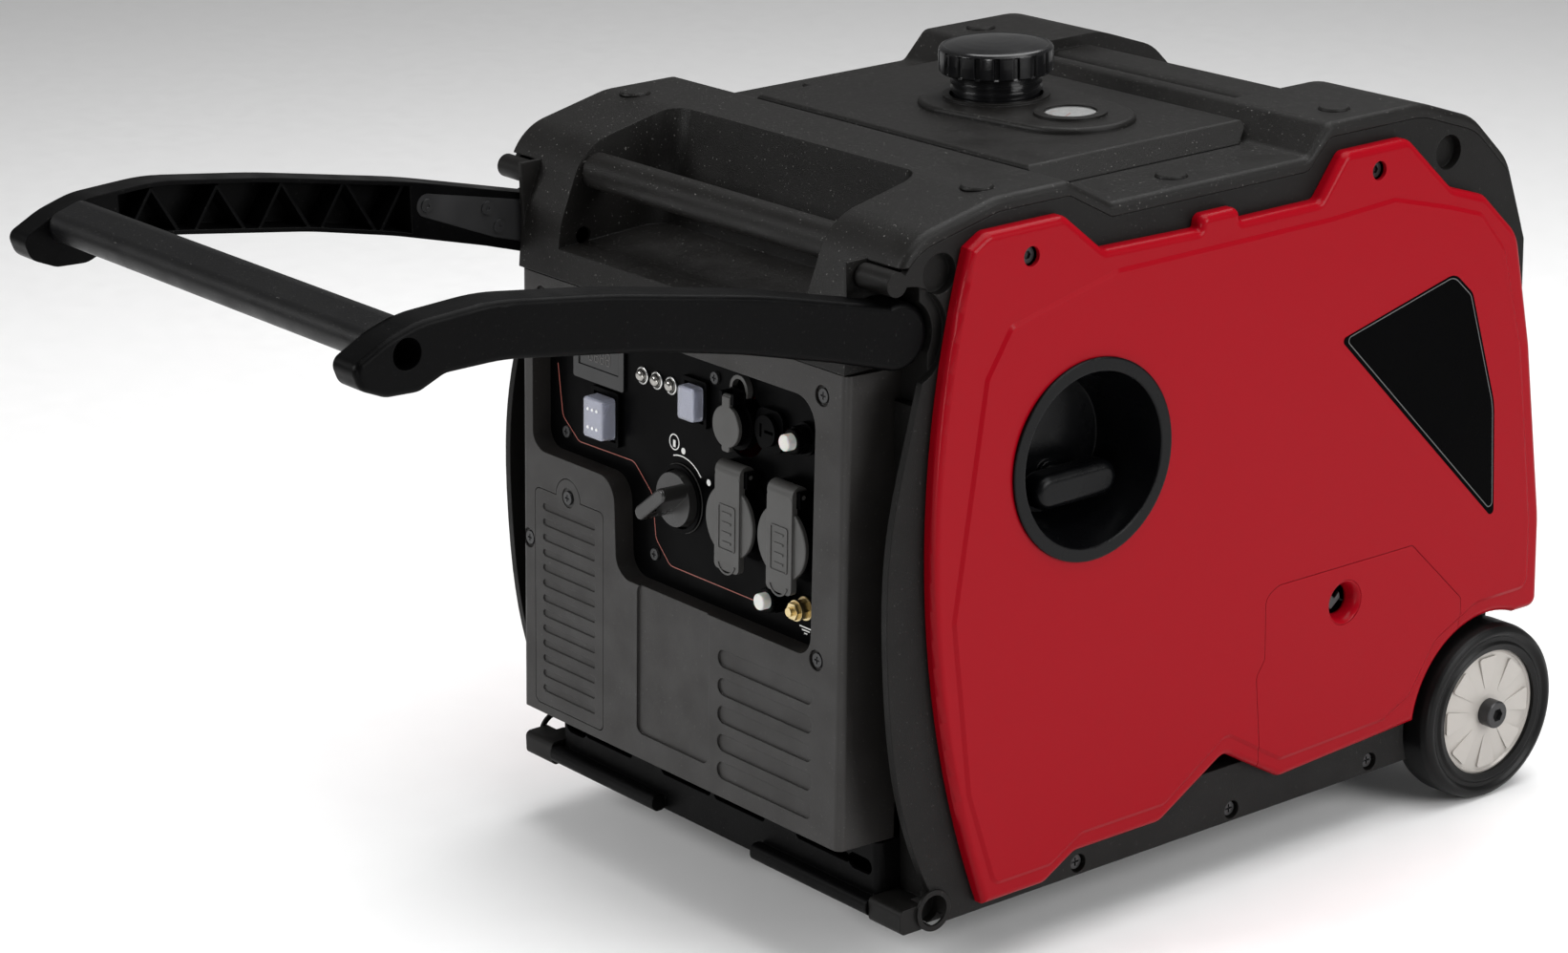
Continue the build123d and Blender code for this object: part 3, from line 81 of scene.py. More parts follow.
def cover_place(sign):
    """Place function for the crown of a side cover: y, z and height above the crown."""
    return lambda y, z, rise: side_point(sign * (COVER_X + rise), y, z)


# ---------------------------------------------------------------- materials
MIX_FACTOR, MIX_A, MIX_B, MIX_COLOUR = 0, 6, 7, 2  # sockets of a colour mix node
DUST_SCALE, DUST_LOW, DUST_HIGH = 640.0, 0.70, 0.80
DUST_COLOUR = (0.42, 0.41, 0.39, 1)
SMEAR = 4.3  # smears are this much finer than the slow colour change


def add_node(tree, kind, **values):
    """New shader node; keyword values set its sockets or, if it has none so named, its properties."""
    node = tree.nodes.new(kind)
    for key, value in values.items():
        label = key.replace("_", " ").title()
        if label in node.inputs:
            node.inputs[label].default_value = value
        else:
            setattr(node, key, value)
    return node


def surface(
    name,
    colour,
    rough=0.5,
    metallic=0.0,
    grain=0.1,
    grain_scale=1400.0,
    depth=0.0002,
    vary=0.12,
    vary_scale=9.0,
    rough_vary=0.08,
    edge=0.0,
    specks=0.0,
    coat=0.0,
    coat_rough=0.05,
    specular=0.5,
    transmission=0.0,
    ior=1.5,
    subsurface=0.0,
    anisotropic=0.0,
):
    """Procedural material: slow colour and gloss variation, fine moulded grain, soft edges, dust."""
    mat = bpy.data.materials.new(name)
    mat.use_nodes = True
    tree = mat.node_tree
    shader = tree.nodes["Principled BSDF"]
    link = tree.links.new
    coords = add_node(tree, "ShaderNodeTexCoord")
    slow = add_node(tree, "ShaderNodeTexNoise", scale=vary_scale, detail=4.0, roughness=0.55)
    link(coords.outputs["Object"], slow.inputs["Vector"])
    mix = add_node(tree, "ShaderNodeMix", data_type="RGBA")
    dark = [c * (1 - vary) for c in colour]
    light = [min(1.0, c * (1 + vary) + 0.002 * vary) for c in colour]
    mix.inputs[MIX_A].default_value = (*dark, 1)
    mix.inputs[MIX_B].default_value = (*light, 1)
    link(slow.outputs["Fac"], mix.inputs[MIX_FACTOR])
    colour_out = mix.outputs[MIX_COLOUR]
    if specks:
        dust = add_node(tree, "ShaderNodeTexNoise", scale=DUST_SCALE, detail=1.0)
        link(coords.outputs["Object"], dust.inputs["Vector"])
        step = add_node(tree, "ShaderNodeMapRange")
        step.inputs["From Min"].default_value = DUST_LOW
        step.inputs["From Max"].default_value = DUST_HIGH
        step.inputs["To Max"].default_value = specks
        link(dust.outputs["Fac"], step.inputs["Value"])
        over = add_node(tree, "ShaderNodeMix", data_type="RGBA")
        over.inputs[MIX_B].default_value = DUST_COLOUR
        link(step.outputs["Result"], over.inputs[MIX_FACTOR])
        link(colour_out, over.inputs[MIX_A])
        colour_out = over.outputs[MIX_COLOUR]
    link(colour_out, shader.inputs["Base Color"])
    gloss = add_node(tree, "ShaderNodeMapRange")
    gloss.inputs["From Min"].default_value = 0.3
    gloss.inputs["From Max"].default_value = 0.7
    gloss.inputs["To Min"].default_value = max(0.02, rough - rough_vary)
    gloss.inputs["To Max"].default_value = min(1.0, rough + rough_vary)
    smear = add_node(tree, "ShaderNodeTexNoise", scale=vary_scale * SMEAR, detail=3.0)
    link(coords.outputs["Object"], smear.inputs["Vector"])
    link(smear.outputs["Fac"], gloss.inputs["Value"])
    link(gloss.outputs["Result"], shader.inputs["Roughness"])
    bump = add_node(tree, "ShaderNodeBump", strength=grain, distance=depth)
    fine = add_node(tree, "ShaderNodeTexNoise", scale=grain_scale, detail=2.0)
    link(coords.outputs["Object"], fine.inputs["Vector"])
    link(fine.outputs["Fac"], bump.inputs["Height"])
    if edge:
        soft = add_node(tree, "ShaderNodeBevel", samples=4)
        soft.inputs["Radius"].default_value = edge
        link(soft.outputs["Normal"], bump.inputs["Normal"])
    link(bump.outputs["Normal"], shader.inputs["Normal"])
    shader.inputs["Metallic"].default_value = metallic
    shader.inputs["Specular IOR Level"].default_value = specular
    shader.inputs["Coat Weight"].default_value = coat
    shader.inputs["Coat Roughness"].default_value = coat_rough
    shader.inputs["Transmission Weight"].default_value = transmission
    shader.inputs["IOR"].default_value = ior
    shader.inputs["Subsurface Weight"].default_value = subsurface
    shader.inputs["Subsurface Scale"].default_value = 0.003
    shader.inputs["Anisotropic"].default_value = anisotropic
    return mat


SHELL = surface("shell_black", (0.0056, 0.0052, 0.0048), 0.45, grain=0.5, grain_scale=1500,
                depth=0.00035, vary=0.25, edge=0.0012, specks=0.26, specular=0.15)
FRAME_BLACK = surface("frame_black", (0.0046, 0.0043, 0.0040), 0.45, grain=0.5, grain_scale=1500,
                      depth=0.00035, vary=0.25, edge=0.0012, specks=0.06, specular=0.12)
PANEL = surface("panel_black", (0.0118, 0.0106, 0.0098), 0.46, grain=0.4, grain_scale=1700,
                depth=0.0003, vary=0.22, edge=0.0010, specks=0.10, specular=0.34)
PLATE_BLACK = surface("control_black", (0.0006, 0.0006, 0.0007), 0.36, grain=0.08, vary=0.2,
                      edge=0.0003, specular=0.025)
RED = surface("cover_red", (0.225, 0.0009, 0.0055), 0.30, grain=0.03, grain_scale=500, vary=0.02,
              vary_scale=3, edge=0.0008, coat=0.07, coat_rough=0.08, specular=0.05, rough_vary=0.02)
DECAL = surface("decal_black", (0.0006, 0.0006, 0.0007), 0.30, grain=0.03, vary=0.2, specular=0.01)
GLOSS_BLACK = surface("gloss_black", (0.0030, 0.0030, 0.0034), 0.20, grain=0.06, vary=0.2,
                      edge=0.0005, specular=0.4)
BOWL_BLACK = surface("bowl_black", (0.0012, 0.0013, 0.0016), 0.26, grain=0.08, vary=0.2,
                     edge=0.0015, specular=0.12)
RUBBER = surface("rubber_black", (0.013, 0.013, 0.0135), 0.62, grain=0.35, grain_scale=900,
                 depth=0.0003, vary=0.25, edge=0.0005)
GREY_RUBBER = surface("rubber_grey", (0.040, 0.039, 0.037), 0.42, grain=0.3, vary=0.2, edge=0.0006)
TYRE = surface("tyre_black", (0.0026, 0.0026, 0.0026), 0.40, specular=0.16, grain=0.3, grain_scale=700,
               depth=0.0003, vary=0.3)
DISC = surface("disc_silver", (0.37, 0.35, 0.325), 0.38, metallic=0.15, grain=0.12, vary=0.06)
STEEL = surface("steel_zinc", (0.55, 0.55, 0.54), 0.3, metallic=1.0, grain=0.15, vary=0.12, edge=0.0003)
DARK_STEEL = surface("steel_dark", (0.035, 0.035, 0.036), 0.35, metallic=0.6, grain=0.2, vary=0.2,
                     edge=0.0003)
BRASS = surface("brass", (0.62, 0.50, 0.27), 0.3, metallic=1.0, grain=0.15, vary=0.15, edge=0.0003)
ALLOY = surface("alloy_cast", (0.40, 0.40, 0.40), 0.5, metallic=0.9, grain=0.5, grain_scale=700,
                depth=0.0006, vary=0.2, edge=0.001)
IRON = surface("iron_raw", (0.10, 0.095, 0.09), 0.55, metallic=0.8, grain=0.4, vary=0.3)
FROST = surface("cap_frosted", (0.80, 0.80, 0.76), 0.35, grain=0.1, vary=0.05, edge=0.0005,
                subsurface=0.4, transmission=0.25)
CLEAR = surface("boot_clear", (0.66, 0.68, 0.78), 0.16, grain=0.06, vary=0.05, transmission=0.7,
                edge=0.0008)
ROCKER = surface("rocker_pale", (0.45, 0.46, 0.52), 0.35, grain=0.1, vary=0.1, edge=0.0006)
GLASS = surface("lens_clear", (0.85, 0.86, 0.86), 0.12, grain=0.02, vary=0.03, transmission=0.85)
LAMP = surface("lamp_chrome", (0.34, 0.33, 0.31), 0.10, metallic=0.9, grain=0.03, vary=0.12)
DECAL_LINE_GREY = surface("decal_outline", (0.055, 0.055, 0.055), 0.3, grain=0.03, vary=0.1)
ARM_BLACK = surface("arm_black", (0.0009, 0.0009, 0.0010), 0.36, grain=0.25, grain_scale=1600,
                    depth=0.00025, vary=0.25, edge=0.0012, specks=0.03, specular=0.045)
BAR_BLACK = surface("bar_black", (0.0032, 0.0032, 0.0034), 0.42, grain=0.4, grain_scale=900,
                    depth=0.0003, vary=0.25, edge=0.0006, specks=0.12, specular=0.16)
BASE_BLACK = surface("base_black", (0.0010, 0.0010, 0.0011), 0.42, grain=0.4, grain_scale=1500,
                     depth=0.0003, vary=0.3, edge=0.0012, specks=0.04, specular=0.05)
PRINT_RED = surface("print_red", (0.30, 0.085, 0.065), 0.4, grain=0.05, vary=0.08)
PRINT_WHITE = surface("print_white", (0.70, 0.70, 0.68), 0.4, grain=0.05, vary=0.05)
DIGITS = surface("display_segments", (0.055, 0.050, 0.048), 0.3, grain=0.03, vary=0.1)
DIAL_GREY = surface("dial_grey", (0.014, 0.0135, 0.013), 0.30, grain=0.2, vary=0.2, edge=0.0006)
BOOT_DOT = surface("boot_dots", (0.92, 0.92, 0.93), 0.25, grain=0.05, vary=0.03)
GAUGE_FACE = surface("gauge_face", (0.33, 0.33, 0.32), 0.45, grain=0.1, vary=0.15)

# the look of each CAD node
LOOKS = {
    "base_tray": BASE_BLACK, "side_frame_right": FRAME_BLACK, "side_frame_left": FRAME_BLACK,
    "top_cover": SHELL,
    "tank_deck": SHELL, "front_panel": PANEL, "control_plate": PLATE_BLACK,
    "side_cover_right": RED, "side_cover_left": RED, "maintenance_door": RED,
    "recoil_bowl": BOWL_BLACK, "service_door": PANEL, "rear_panel": SHELL, "grab_bar": SHELL,
    "trim_plugs": SHELL, "housing_screws": DARK_STEEL, "battery": PLATE_BLACK,
    "front_feet": RUBBER, "handle_arm_right": ARM_BLACK, "handle_arm_left": ARM_BLACK,
    "handle_crossbar": BAR_BLACK, "handle_brackets": DARK_STEEL, "bracket_screws": DARK_STEEL,
    "handle_pivots": DARK_STEEL, "wheel_disc_right": DISC, "wheel_disc_left": DISC,
    "tyre_right": TYRE, "tyre_left": TYRE, "axle": STEEL, "hub_bolts": DARK_STEEL,
    "fuel_tank": SHELL, "fuel_neck": GLOSS_BLACK, "fuel_cap": GLOSS_BLACK,
    "cap_gasket": RUBBER, "gauge_lens": GLASS, "switch_housings": PLATE_BLACK,
    "start_rocker": ROCKER, "start_boot": CLEAR, "eco_rocker": ROCKER, "eco_boot": CLEAR,
    "display_window": GLOSS_BLACK, "indicator_lamps": LAMP, "fuel_dial": DIAL_GREY,
    "schuko_sockets": PLATE_BLACK, "schuko_lid_left": GREY_RUBBER,
    "schuko_lid_right": GREY_RUBBER, "dc_outlets": PLATE_BLACK, "outlet_cap": GREY_RUBBER,
    "breaker_bodies": PLATE_BLACK, "dc_breaker_button": FROST, "ac_breaker_button": FROST,
    "ground_terminal": BRASS, "engine": ALLOY, "alternator_stator": IRON, "rotor": ALLOY,
    "recoil_pulley": PLATE_BLACK, "recoil_grip": BOWL_BLACK, "inverter_module": ALLOY,
    "muffler": STEEL, "air_filter_box": PANEL,
}
for name, look in LOOKS.items():
    slots = NODES[name].data.materials
    slots.clear()
    slots.append(look)


# ---------------------------------------------------------------- mesh helpers
ARC_STEPS = 7


def rounded_loop(points, radii, steps=ARC_STEPS):
    """Closed loop of 2-D points with each corner turned into an arc."""
    loop = []
    for i, point in enumerate(points):
        corner = Vector(point)
        before = (Vector(points[i - 1]) - corner).normalized()
        after = (Vector(points[(i + 1) % len(points)]) - corner).normalized()
        half = before.angle(after) / 2
        centre = corner + (before + after).normalized() * (radii[i] / math.sin(half))
        reach = radii[i] / math.tan(half)
        start, end = corner + before * reach - centre, corner + after * reach - centre
        turn = start.angle_signed(end)
        for k in range(steps + 1):
            loop.append(centre + Matrix.Rotation(-turn * k / steps, 2) @ start)
    return loop


def piece(name, mesh, look, body, smooth=False):
    """Finish a bmesh as an object that rides on a CAD body."""
    bmesh.ops.recalc_face_normals(mesh, faces=mesh.faces)
    data = bpy.data.meshes.new(name)
    mesh.to_mesh(data)
    mesh.free()
    data.materials.append(look)
    for face in data.polygons:
        face.use_smooth = smooth
    made = bpy.data.objects.new(name, data)
    bpy.context.scene.collection.objects.link(made)
    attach(made, body)
    return made


def add_prism(mesh, bottom, top):
    """Closed prism between two matching loops of world points."""
    low = [mesh.verts.new(p) for p in bottom]
    high = [mesh.verts.new(p) for p in top]
    mesh.faces.new(low)
    mesh.faces.new(high)
    for i in range(len(low)):
        k = (i + 1) % len(low)
        mesh.faces.new((low[i], low[k], high[k], high[i]))


def add_plate(mesh, loop, place, low, high):
    """Closed flat prism over a 2-D loop; `place(x, z, depth)` puts it on a surface."""
    add_prism(mesh, [place(*p, low) for p in loop], [place(*p, high) for p in loop])


def add_ribbon(mesh, line, width, place, low, high, closed=False):
    """Closed strip along a 2-D line, from depth `low` to depth `high` of a surface."""
    count = len(line)
    line = [Vector(p) for p in line]
    sides = []
    for i in range(count):
        before = line[i - 1] if closed or i else line[i]
        after = line[(i + 1) % count] if closed or i < count - 1 else line[i]
        along = (after - before).normalized()
        across = Vector((-along.y, along.x)) * width / 2
        sides.append((line[i] - across, line[i] + across))
    rows = []
    for left, right in sides:
        corners = ((left, low), (right, low), (right, high), (left, high))
        rows.append([mesh.verts.new(place(q.x, q.y, d)) for q, d in corners])
    for i in range(count if closed else count - 1):
        a, b = rows[i], rows[(i + 1) % count]
        for k in range(4):
            mesh.faces.new((a[k], a[(k + 1) % 4], b[(k + 1) % 4], b[k]))
    if not closed:
        mesh.faces.new(rows[0])
        mesh.faces.new(rows[-1])


def arc(centre, radius, start, end, steps=24):
    """Points of a circular arc, angles in degrees."""
    turns = [math.radians(start + (end - start) * k / steps) for k in range(steps + 1)]
    return [(centre[0] + radius * math.cos(t), centre[1] + radius * math.sin(t)) for t in turns]


def add_turned(mesh, centre, profile, place, steps=40):
    """Ring turned about a surface's normal from a closed loop of (radius, depth) points."""
    rings = []
    for k in range(steps):
        t = 2 * math.pi * k / steps
        x, z = math.cos(t), math.sin(t)
        ring = [place(centre[0] + r * x, centre[1] + r * z, d) for r, d in profile]
        rings.append([mesh.verts.new(point) for point in ring])
    for k in range(steps):
        a, b = rings[k], rings[(k + 1) % steps]
        for i in range(len(profile)):
            j = (i + 1) % len(profile)
            mesh.faces.new((a[i], a[j], b[j], b[i]))


# ---------------------------------------------------------------- side cover decals
DECAL_LINE = [(100, 370), (209, 396), (227, 379), (252, 295), (255, 209)]
DECAL_RADII = [3, 12, 12, 60, 3]
INSET_LINE = [(104.5, 369.6), (207.8, 393.9), (225, 377.8), (250, 294.4), (253, 215)]
INSET_RADII = [3, 10, 10, 55, 3]


def make_decal(side, sign):
    """Plain black decal on a side cover, with a thin outline near its edge."""
    mesh = bmesh.new()
    add_plate(mesh, rounded_loop(DECAL_LINE, DECAL_RADII), cover_place(sign), 0.02, 0.30)
    piece(f"decal_{side}", mesh, DECAL, "generator")
    mesh = bmesh.new()
    inset = rounded_loop(INSET_LINE, INSET_RADII)
    add_ribbon(mesh, inset, 0.7, cover_place(sign), 0.25, 0.42, closed=True)
    piece(f"decal_line_{side}", mesh, DECAL_LINE_GREY, "generator")


make_decal("right", 1)
make_decal("left", -1)

# ---------------------------------------------------------------- control plate graphics
BORDER_LINE = [(-155, 349), (-149, 311), (-130, 297), (-66, 298), (-45, 280), (-41, 250), (-25, 235),
               (86, 235)]
BORDER_RADII = [1, 8, 8, 10, 10, 9, 9, 1]
DOTS = [(-11, 318), (17, 303)]
DOT_R = 2.2
FUEL_SIGN = (-21, 322)
EARTH_SIGN = [(231, 6.5), (229, 4), (227, 1.5)]  # height and half length of its bars
EARTH_X = 121.5


def make_border():
    """Thin red line along the lower left edge of the control plate."""
    mesh = bmesh.new()
    border = rounded_loop(BORDER_LINE, BORDER_RADII)
    add_ribbon(mesh, border[ARC_STEPS:-ARC_STEPS], 0.55, panel_point, PLATE, PRINT)
    piece("plate_border", mesh, PRINT_RED, "generator")


def make_marks():
    """Printed signs round the fuel dial, and an earth sign under the ground terminal."""
    mesh = bmesh.new()
    add_ribbon(mesh, arc(DIAL, 29, 42, 108), 0.8, panel_point, PLATE, PRINT)
    for dot in DOTS:
        add_plate(mesh, arc(dot, DOT_R, 0, 337.5, 15), panel_point, PLATE, PRINT)
    add_ribbon(mesh, arc(FUEL_SIGN, 5.2, 0, 345, 23), 0.8, panel_point, PLATE, PRINT, closed=True)
    drop = [(FUEL_SIGN[0], FUEL_SIGN[1] - 3.4), (FUEL_SIGN[0], FUEL_SIGN[1] + 1.4)]
    add_ribbon(mesh, drop, 2.6, panel_point, PLATE, PRINT)
    add_ribbon(mesh, arc(DIAL, 23, 12, 66), 0.6, panel_point, PLATE, PRINT)
    for z, half in EARTH_SIGN:
        add_ribbon(mesh, [(EARTH_X + half, z), (EARTH_X - half, z)], 0.8, panel_point, PLATE, PRINT)
    piece("plate_marks", mesh, PRINT_WHITE, "generator")


make_border()
make_marks()

# ---------------------------------------------------------------- display digits
SEGMENTS = [  # ends of the seven bars of a digit, from its middle
    ((-1.6, 4), (1.6, 4)), ((-1.6, 0), (1.6, 0)), ((-1.6, -4), (1.6, -4)),
    ((-2.1, 3.6), (-2.1, 0.4)), ((2.1, 3.6), (2.1, 0.4)),
    ((-2.1, -0.4), (-2.1, -3.6)), ((2.1, -0.4), (2.1, -3.6)),
]
DIGIT_COUNT, DIGIT_PITCH = 4, 6.6
FIRST_DIGIT = (-114.6, 362)
WINDOW = PLATE - 1.25  # face of the display window


def make_digits():
    """Unlit seven-bar digits behind the display window."""
    mesh = bmesh.new()
    for n in range(DIGIT_COUNT):
        x, z = FIRST_DIGIT[0] + DIGIT_PITCH * n, FIRST_DIGIT[1]
        for a, b in SEGMENTS:
            bar = [(x + a[0], z + a[1]), (x + b[0], z + b[1])]
            add_ribbon(mesh, bar, 0.8, panel_point, WINDOW, WINDOW - 0.15)
    piece("display_digits", mesh, DIGITS, "generator")


make_digits()

# ---------------------------------------------------------------- switch, lamp and breaker details
BOOT_DOT_PITCH = (5.0, 6.4)
RIB_COUNT = 26
RIB_HALF = 3.6  # degrees


def make_boot_dots():
    """Two rows of raised dots on the start switch's clear boot."""
    mesh = bmesh.new()
    for row in (-1, 1):
        for column in (-1, 0, 1):
            centre = (START[0] + BOOT_DOT_PITCH[0] * column, START[1] + BOOT_DOT_PITCH[1] * row)
            add_turned(mesh, centre, [(0.05, 1.7), (1.3, 1.7), (1.0, 1.2), (0.05, 1.0)], panel_point, 16)
    piece("boot_dots", mesh, BOOT_DOT, "start_switch", smooth=True)


def make_lamp_bezels():
    """Rounded metal ring about each indicator lamp."""
    profile = [(4.7, PLATE), (6.4, PLATE), (6.2, PLATE - 1.1), (5.5, PLATE - 1.6), (4.8, PLATE - 1.1)]
    mesh = bmesh.new()
    for lamp in LAMPS:
        add_turned(mesh, lamp, profile, panel_point)
    piece("lamp_bezels", mesh, STEEL, "generator", smooth=True)


def make_breaker_ribs():
    """Grip ribs round the nut of each breaker."""
    mesh = bmesh.new()
    for centre in BREAKERS:
        for k in range(RIB_COUNT):
            t = 360 * k / RIB_COUNT
            outer = arc(centre, 8.45, t - RIB_HALF, t + RIB_HALF, 2)
            inner = arc(centre, 7.45, t + RIB_HALF, t - RIB_HALF, 2)
            add_plate(mesh, outer + inner, panel_point, PLATE - 9.2, PLATE - 12.7)
    piece("breaker_ribs", mesh, PLATE_BLACK, "generator")


make_boot_dots()
make_lamp_bezels()
make_breaker_ribs()

# ---------------------------------------------------------------- relief on the socket lids
RELIEF_HALF = 8.5
RELIEF_LOW, RELIEF_HIGH = 270, 300
BAR_COUNT, BAR_PITCH, BAR_LOW, BAR_HALF = 4, 6.6, 275, 4.5
ROOT = LID_FACE + 0.1  # a little inside the lid


def make_lid_relief(side, x):
    """Raised frame with four plain bars in it, and a curved finger ridge below."""
    mesh = bmesh.new()
    corners = [(x - RELIEF_HALF, RELIEF_LOW), (x + RELIEF_HALF, RELIEF_LOW),
               (x + RELIEF_HALF, RELIEF_HIGH), (x - RELIEF_HALF, RELIEF_HIGH)]
    edge = rounded_loop(corners, [1.5] * 4, 4)
    add_ribbon(mesh, edge, 1.0, panel_point, ROOT, LID_FACE - 0.55, closed=True)
    for k in range(BAR_COUNT):
        z = BAR_LOW + BAR_PITCH * k
        add_ribbon(mesh, [(x - BAR_HALF, z), (x + BAR_HALF, z)], 1.5, panel_point, ROOT, LID_FACE - 0.45)
    ridge = arc((x, 263.5), 9.5, 200, 340, 12)
    add_ribbon(mesh, ridge, 1.3, panel_point, ROOT, LID_FACE - 0.6)
    piece(f"lid_relief_{side}", mesh, GREY_RUBBER, f"lid_{side}")


for side, lid_x in LID_X.items():
    make_lid_relief(side, lid_x)

# ---------------------------------------------------------------- fuel gauge
GAUGE_MIDDLE = (GAUGE_X, 0)
NEEDLE_ANGLE = 300


def make_gauge_face():
    """Pale disc under the gauge's lens."""
    mesh = bmesh.new()
    add_plate(mesh, arc(GAUGE_MIDDLE, 17.4, 0, 352, 44), side_point, GAUGE_Z + 0.05, GAUGE_Z + 0.25)
    piece("gauge_face", mesh, GAUGE_FACE, "generator")


def make_gauge_marks():
    """Scale marks and needle of the gauge."""
    mesh = bmesh.new()
    for t in range(200, 341, 20):
        inner, outer = arc(GAUGE_MIDDLE, 12, t, t, 1)[0], arc(GAUGE_MIDDLE, 15.6, t, t, 1)[0]
        add_ribbon(mesh, [inner, outer], 0.7, side_point, GAUGE_Z + 0.2, GAUGE_Z + 0.4)
    tip = arc(GAUGE_MIDDLE, 13, NEEDLE_ANGLE, NEEDLE_ANGLE, 1)[0]
    add_ribbon(mesh, [GAUGE_MIDDLE, tip], 1.3, side_point, GAUGE_Z + 0.2, GAUGE_Z + 0.6)
    piece("gauge_marks", mesh, PRINT_RED, "generator")


make_gauge_face()
make_gauge_marks()

# ---------------------------------------------------------------- fuel cap
CAP_LUGS = 18
LUG_STEPS = 12  # columns of the mesh in one lug
LUG_EDGE, LUG_SLOPE = 0.66, 0.17  # where a slot starts and how soon it is at full depth, 0 to 1
CAP_ROWS = [  # radius, height, depth of the slots between the lugs
    (33.2, 545.4, 0), (33.2, 531.6, 0), (38.4, 531.6, 0), (39.4, 532.8, 1.9), (39.5, 540.0, 2.1),
    (39.4, 546.6, 1.9), (39.3, 547.6, 0), (38.3, 549.2, 0), (36.6, 550.0, 0), (35.4, 549.7, 0),
    (34.0, 550.1, 0), (28.0, 551.3, 0), (20.0, 552.2, 0), (11.0, 552.8, 0), (3.0, 553.0, 0),
]


def cap_ring(mesh, radius, height, slot_depth):
    """One ring of the cap's vertices, drawn in at the slots between the lugs."""
    ring = []
    columns = CAP_LUGS * LUG_STEPS
    half = LUG_STEPS // 2
    for k in range(columns):
        turn = 2 * math.pi * k / columns
        off = abs((k % LUG_STEPS) - half) / half  # 0 in the middle of a lug, 1 in the slot
        r = radius - slot_depth * min(1.0, max(0.0, (off - LUG_EDGE) / LUG_SLOPE))
        x, y = CAP_X + r * math.cos(turn), CAP_Y + r * math.sin(turn)
        ring.append(mesh.verts.new(side_point(x, y, height)))
    return ring


def make_fuel_cap():
    """Fuel cap with grip lugs and a shallow crown, in place of the plain CAD cap."""
    mesh = bmesh.new()
    rings = [cap_ring(mesh, *row) for row in CAP_ROWS]
    for low, high in zip(rings, rings[1:]):
        for k in range(len(low)):
            j = (k + 1) % len(low)
            mesh.faces.new((low[k], low[j], high[j], high[k]))
    mesh.faces.new(rings[0])
    mesh.faces.new(rings[-1])
    cap = piece("fuel_cap_lugged", mesh, GLOSS_BLACK, "cap")
    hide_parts("fuel_cap")


make_fuel_cap()

# ---------------------------------------------------------------- door dish and latch
DISH_PROFILE = [(15.9, 221.8), (14.9, 221.6), (12.6, 217.5), (10.6, 212.2), (10.4, 210.6),
                (11.4, 210.6), (13.6, 216.6), (15.9, 220.2)]
HOOK_LINE = [(99.5, 180), (104, 186.5), (108, 183), (112, 187), (113, 182.5), (108, 178.5), (104, 175.5)]


def make_door_dish():
    """Round dish that a finger goes into, in the maintenance door."""
    mesh = bmesh.new()
    add_turned(mesh, DOOR_LATCH, DISH_PROFILE, door_point, 48)
    piece("door_dish", mesh, RED, "door", smooth=True)


def make_door_latch():
    """Bent steel hook at the bottom of the dish."""
    mesh = bmesh.new()
    add_plate(mesh, HOOK_LINE, door_point, 211.0, 213.6)
    latch = piece("door_latch", mesh, DARK_STEEL, "door")
    bevel = latch.modifiers.new("soft_edges", "BEVEL")
    bevel.width, bevel.segments = 0.0006, 2


make_door_dish()
make_door_latch()

# ---------------------------------------------------------------- dial ring and outlet strap
def make_dial_ring():
    """Low ring on the plate round the fuel dial."""
    profile = [(22.6, PLATE), (23.8, PLATE), (23.8, PLATE - 0.7), (22.6, PLATE - 0.7)]
    mesh = bmesh.new()
    add_turned(mesh, DIAL, profile, panel_point, 72)
    piece("dial_ring", mesh, GREY_RUBBER, "generator")


def make_outlet_strap():
    """Rubber strap that keeps the outlet's cap on the panel."""
    mesh = bmesh.new()
    add_ribbon(mesh, arc(STRAP_EYE, 8.2, -30, 210, 24), 2.6, panel_point, PLATE - 0.2, PLATE - 4.6)
    piece("outlet_strap", mesh, GREY_RUBBER, "generator")


make_dial_ring()
make_outlet_strap()


# ---------------------------------------------------------------- floor, light and camera
FLOOR_HALF = 6.0
CAMERA_PLACE = Vector((2.10349, -1.65486, 1.15002))
CAMERA_TARGET = Vector((-0.00154, -0.03024, 0.28513))
CAMERA_ROLL = math.radians(-1.3)
LENS, SENSOR = 95.512, 36.0  # mm


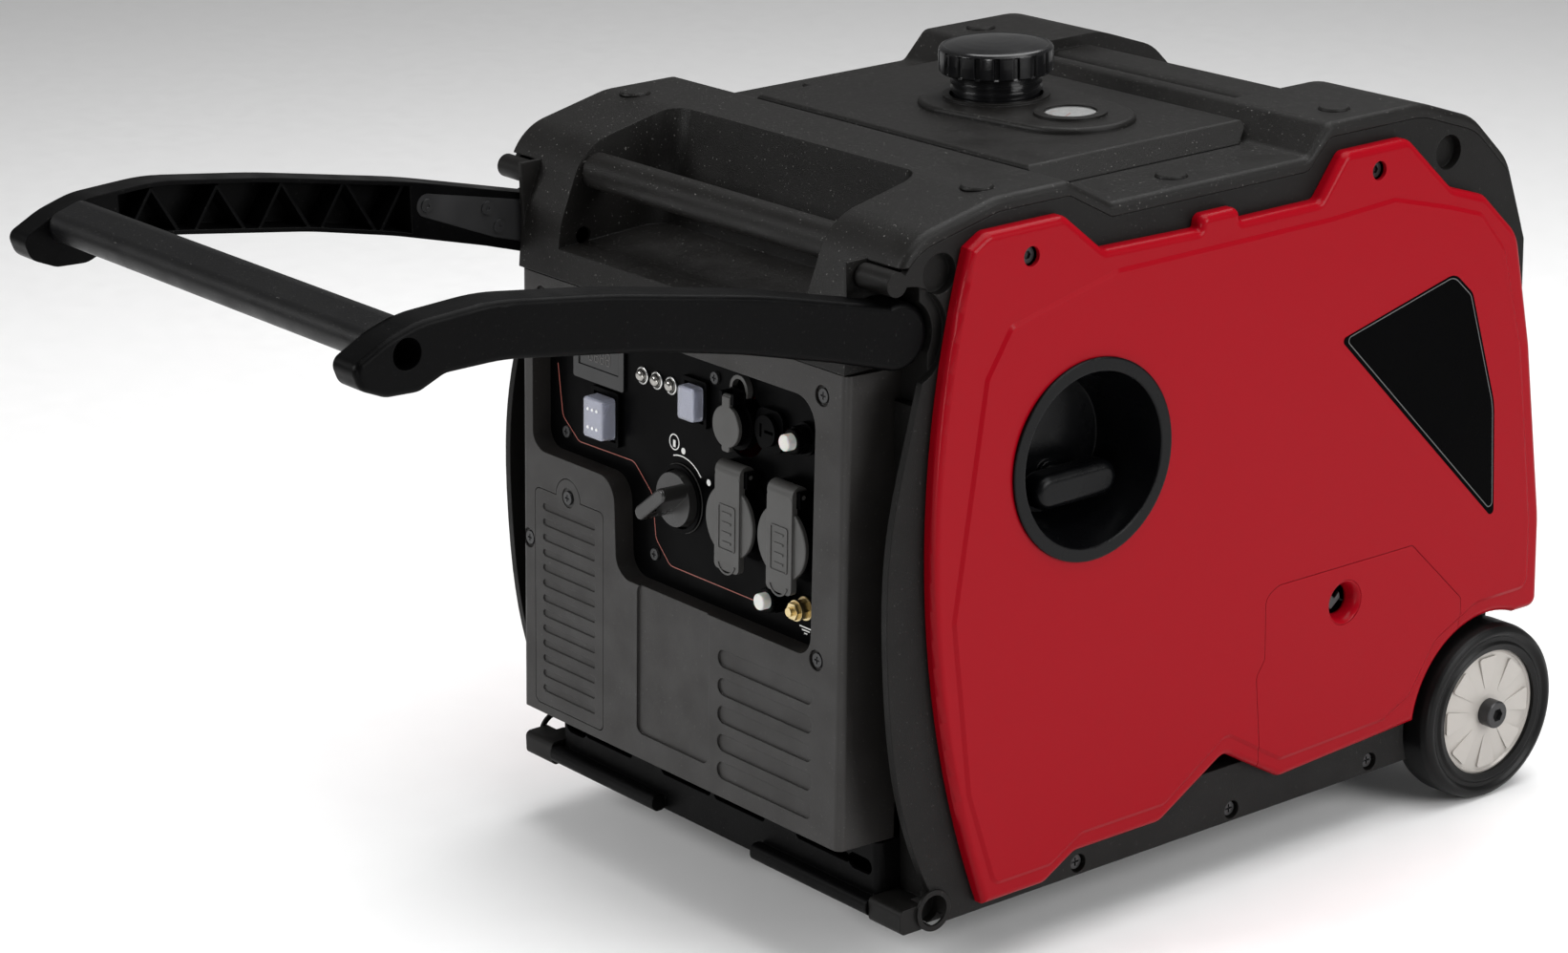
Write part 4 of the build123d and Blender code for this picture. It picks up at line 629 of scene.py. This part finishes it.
def make_floor():
    """Plain pale floor, not part of the object."""
    grid = bmesh.new()
    bmesh.ops.create_grid(grid, x_segments=2, y_segments=2, size=FLOOR_HALF)
    data = bpy.data.meshes.new("floor")
    grid.to_mesh(data)
    floor = bpy.data.objects.new("floor", data)
    bpy.context.scene.collection.objects.link(floor)
    data.materials.append(surface("floor_pale", (0.86, 0.86, 0.86), 0.6, grain=0.0, vary=0.0))


def make_world():
    """Even white surroundings, and a view transform that keeps the deep red saturated."""
    world = bpy.data.worlds.new("studio")
    bpy.context.scene.world = world
    bpy.context.scene.view_settings.view_transform = "Standard"
    world.use_nodes = True
    world.node_tree.nodes["Background"].inputs["Color"].default_value = (1, 1, 1, 1)
    world.node_tree.nodes["Background"].inputs["Strength"].default_value = 0.20


def area_light(name, place, target, size, watts):
    """Soft rectangular studio light."""
    data = bpy.data.lights.new(name, "AREA")
    data.shape = "RECTANGLE"
    data.size, data.size_y = size
    data.energy = watts
    light = bpy.data.objects.new(name, data)
    bpy.context.scene.collection.objects.link(light)
    light.location = place
    aim = Vector(target) - Vector(place)
    light.rotation_euler = aim.to_track_quat("-Z", "Y").to_euler()


def make_camera():
    """Camera at the viewing angle of a three-quarter front view."""
    data = bpy.data.cameras.new("camera")
    data.lens, data.sensor_width = LENS, SENSOR
    camera = bpy.data.objects.new("camera", data)
    bpy.context.scene.collection.objects.link(camera)
    aim = (CAMERA_TARGET - CAMERA_PLACE).to_track_quat("-Z", "Y").to_matrix().to_4x4()
    roll = Matrix.Rotation(CAMERA_ROLL, 4, "Z")
    camera.matrix_world = Matrix.Translation(CAMERA_PLACE) @ aim @ roll
    bpy.context.scene.camera = camera


make_floor()
make_world()
area_light("key_front", (-1.2, -2.6, 1.7), (0, 0, 0.3), (1.4, 1.0), 62)
area_light("top_soft", (0.2, 0.6, 2.4), (0, 0.1, 0.4), (3.0, 2.2), 85)
area_light("rim_front", (1.5, -2.0, 0.30), (0.2, -0.1, 0.3), (0.35, 0.9), 9)
area_light("fill_right", (2.6, 0.9, 1.3), (0.1, 0.2, 0.3), (1.5, 1.3), 52)
make_camera()
